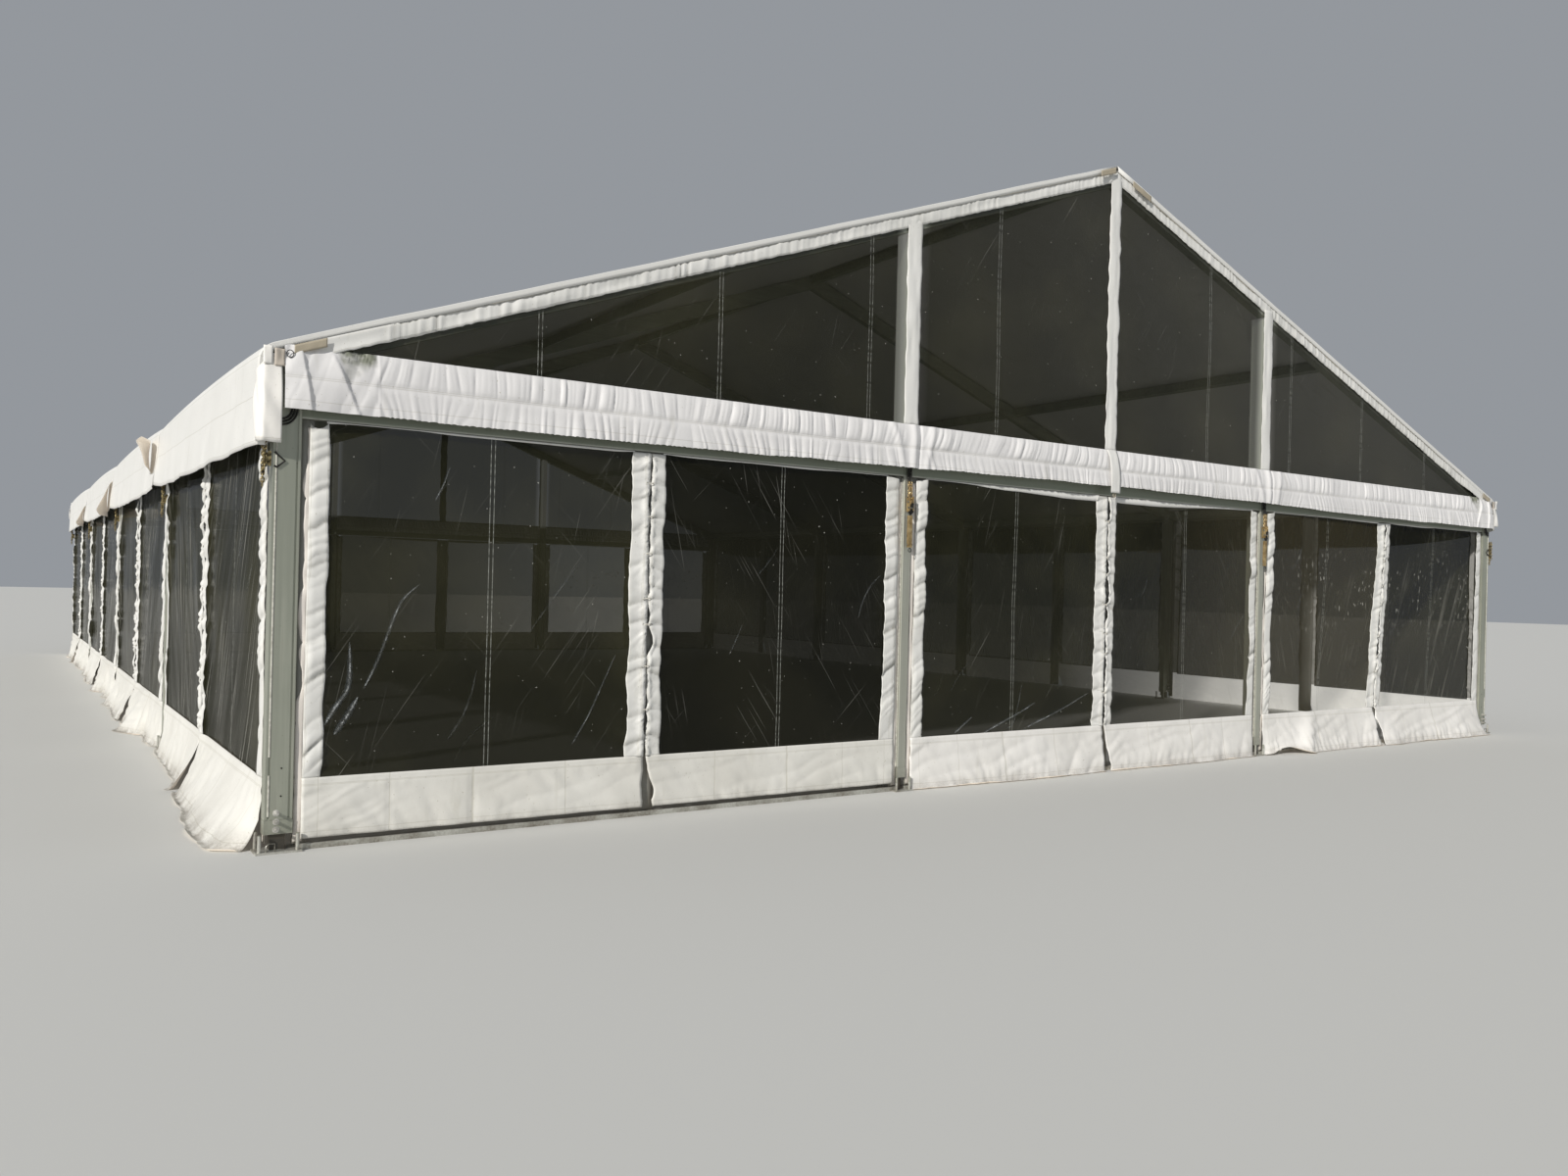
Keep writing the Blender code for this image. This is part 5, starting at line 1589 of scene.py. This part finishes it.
for name in leg_names:
    side, _, middle_y, _ = leg_place(name)
    toward = 0.034 if middle_y < 0 else -0.034
    leg = wall_frame("left" if side < 0 else "right", side * (middle_y - toward), LEG_OUT, 0.0)
    for x, top, bottom in ((-0.019, 2.52, 2.29), (0.020, 2.51, 2.33), (0.001, 2.36, 2.22),
                           (0.003, 2.52, 2.42)):
        shaded_chain.hang(leg, x, 0.052 - 0.3 * abs(x), top, bottom)
    shaded_parts += [box_at(leg, x, 2.39, 0.024, (0.004, 0.09, 0.036), 0.05) for x in (-0.012, 0.013)]
    shaded_parts += [rod_at(leg, 0.0, 2.405, 0.030, 0.018, 0.018),
                   box_at(leg, 0.004, 2.345, 0.046, (0.018, 0.06, 0.003), 0.1)]
    pins += [rod_at(leg, 0.0, y, 0.034, 0.007, 0.05) for y in (2.345, 2.43)]
    black_parts.append(box_at(leg, -0.004, 2.315, 0.050, (0.026, 0.024, 0.010), 0.6))
black_chain.make("post_chains", black_steel)
zinc_chain.make("ratchet_chains", yellow_zinc)
shaded_chain.make("leg_chains", shaded_zinc)
fitting("ratchet_plates", plates, yellow_zinc)
fitting("leg_ratchets", shaded_parts, shaded_zinc)
fitting("ratchet_pins", pins, zinc, bevel=0.0006)
fitting("ratchet_pawls", black_parts, black_steel)
HOOK = ((0.012, 2.432), (0.026, 2.418), (0.070, 2.380), (0.026, 2.340), (0.010, 2.348))
PEG = ((0.012, 0.014), (0.012, 0.046), (0.028, 0.060), (0.062, 0.060), (0.062, 0.014))
hooks, pegs, eyes = [], [], []
for wall in GABLES:
    for side in (-1, 1):
        corner = wall_frame(wall, side * LEG_OUT, gable_out, 0.0)
        hooks.append(([corner @ Vector((-side * x, y, 0.006 + 0.01 * x)) for x, y in HOOK], False))
        arc = [math.radians(angle) for angle in range(-95, 10, 12)]
        for radius in (0.090, 0.074, 0.058):
            hooks.append(([corner @ Vector((-side * (0.045 + radius * math.cos(a)),
                                            2.70 + 1.1 * radius * math.sin(a), 0.012))
                           for a in arc], False))
        pegs.append(([corner @ Vector((-side * x, y, 0.030)) for x, y in PEG], False))
    middle = wall_frame(wall, 0.0, gable_out, 0.0)
    eyes.append(ring_path(middle, 0.0, 2.652, 0.080, 0.017, 1.25))
bent("wire_hooks", hooks, 0.0062, black_steel)
bent("peg_loops", pegs, 0.0042, zinc)
bent("strip_eyes", eyes, 0.0042, webbing)
bent("black_rings", rings, 0.003, black_steel)
strap_rings = [ring_path(wall_frame(wall, side * 7.425, gable_out + 0.062, 0.0), 0.0,
                         float(ridge_height(7.445)) - 0.075, 0.0, 0.020, 1.1)
               for wall in GABLES for side in (-1, 1)]
bent("strap_rings", strap_rings, 0.0028, black_steel)


# Edge ropes and eyelets
# White edge ropes slide in the grooves of the legs and posts, and zinc eyelets take the
# lacing through both borders of each seam.
EYELET_SIZES = {"Loop Radius": 0.0105, "Cord Radius": 0.0028}
ROPE_BREAKS = ((0.22, 0.47), (0.58, 2.60))
rope_white = metal("edge_rope", (0.60, 0.59, 0.53), (0.40, 0.39, 0.34), 0.55, scale=50.0, shine=0.0)
ropes = []
for name in leg_names:
    side, _, middle_y, half_width = leg_place(name)
    for toward in (-1, 1):
        for bottom, top in ROPE_BREAKS:
            ropes.append(([(side * (LEG_OUT - 0.024), middle_y + toward * (half_width - 0.001), z)
                           for z in np.linspace(bottom, top, 8)], False))
for post in posts:
    for x in (-0.048, 0.048):
        ropes.append(([post @ Vector((x, z, -0.020)) for z in np.linspace(0.20, 2.63, 14)], False))
bent("groove_ropes", ropes, 0.006, rope_white)
eyelet_tree = repeat_tree("eyelet_rings", EYELET_SIZES, loop_item)
eyelets = repeated("seam_eyelets", eyelet_tree, eyelet_points, eyelet_out, [(0, 0, 1)] * len(eyelet_points),
                   zinc, EYELET_SIZES)


# Studio
# Plain pale floor, a soft key from the front left above, and a pale surround.
FLOOR_COLOUR = (0.62, 0.62, 0.60)
FLOOR_REACH = 120.0
floor_mesh = bpy.data.meshes.new("floor")
floor_mesh.from_pydata([(x * FLOOR_REACH, y * FLOOR_REACH, -0.0005)
                        for x, y in ((-1, -1), (1, -1), (1, 1), (-1, 1))], [], [(0, 1, 2, 3)])
floor_material, _, floor_shader = new_material("floor", Roughness=0.9)
floor_shader.inputs["Base Color"].default_value = (*FLOOR_COLOUR, 1.0)
floor_mesh.materials.append(floor_material)
floor = link_up(bpy.data.objects.new("floor", floor_mesh))

bpy.context.scene.view_settings.view_transform = "Standard"
key = bpy.data.lights.new("key", "SUN")
key.energy = 3.5
key.angle = math.radians(2.0)
key.color = (1.0, 0.965, 0.91)
key_lamp = link_up(bpy.data.objects.new("key", key))
key_lamp.rotation_euler = Vector((0.89, 0.46, -0.53)).to_track_quat("-Z", "Y").to_euler()

world = bpy.data.worlds.new("surround")
world.use_nodes = True
world.node_tree.nodes["Background"].inputs["Color"].default_value = (0.82, 0.87, 0.94, 1.0)
world.node_tree.nodes["Background"].inputs["Strength"].default_value = 0.36
bpy.context.scene.world = world

# Camera
# Stands where the photograph was taken, off the near corner at eye height.
CAMERA_PLACE = Vector((-8.896, -17.653, 1.679))
CAMERA_YAW = math.radians(34.116)       # from +Y towards +X
CAMERA_PITCH = math.radians(0.030)
CAMERA_ROLL = math.radians(1.404)
forward = Vector((math.sin(CAMERA_YAW) * math.cos(CAMERA_PITCH),
                  math.cos(CAMERA_YAW) * math.cos(CAMERA_PITCH), math.sin(CAMERA_PITCH)))
right = Vector((math.cos(CAMERA_YAW), -math.sin(CAMERA_YAW), 0.0))
above = right.cross(forward)
side_axis = math.cos(CAMERA_ROLL) * right + math.sin(CAMERA_ROLL) * above
top_axis = math.cos(CAMERA_ROLL) * above - math.sin(CAMERA_ROLL) * right
lens = bpy.data.cameras.new("camera")
lens.sensor_width = 36.0
lens.lens = 26.893
lens.clip_end = 500.0
camera = link_up(bpy.data.objects.new("camera", lens))
turn = Matrix((side_axis, top_axis, -forward)).transposed()
camera.matrix_world = Matrix.Translation(CAMERA_PLACE) @ turn.to_4x4()
bpy.context.scene.camera = camera
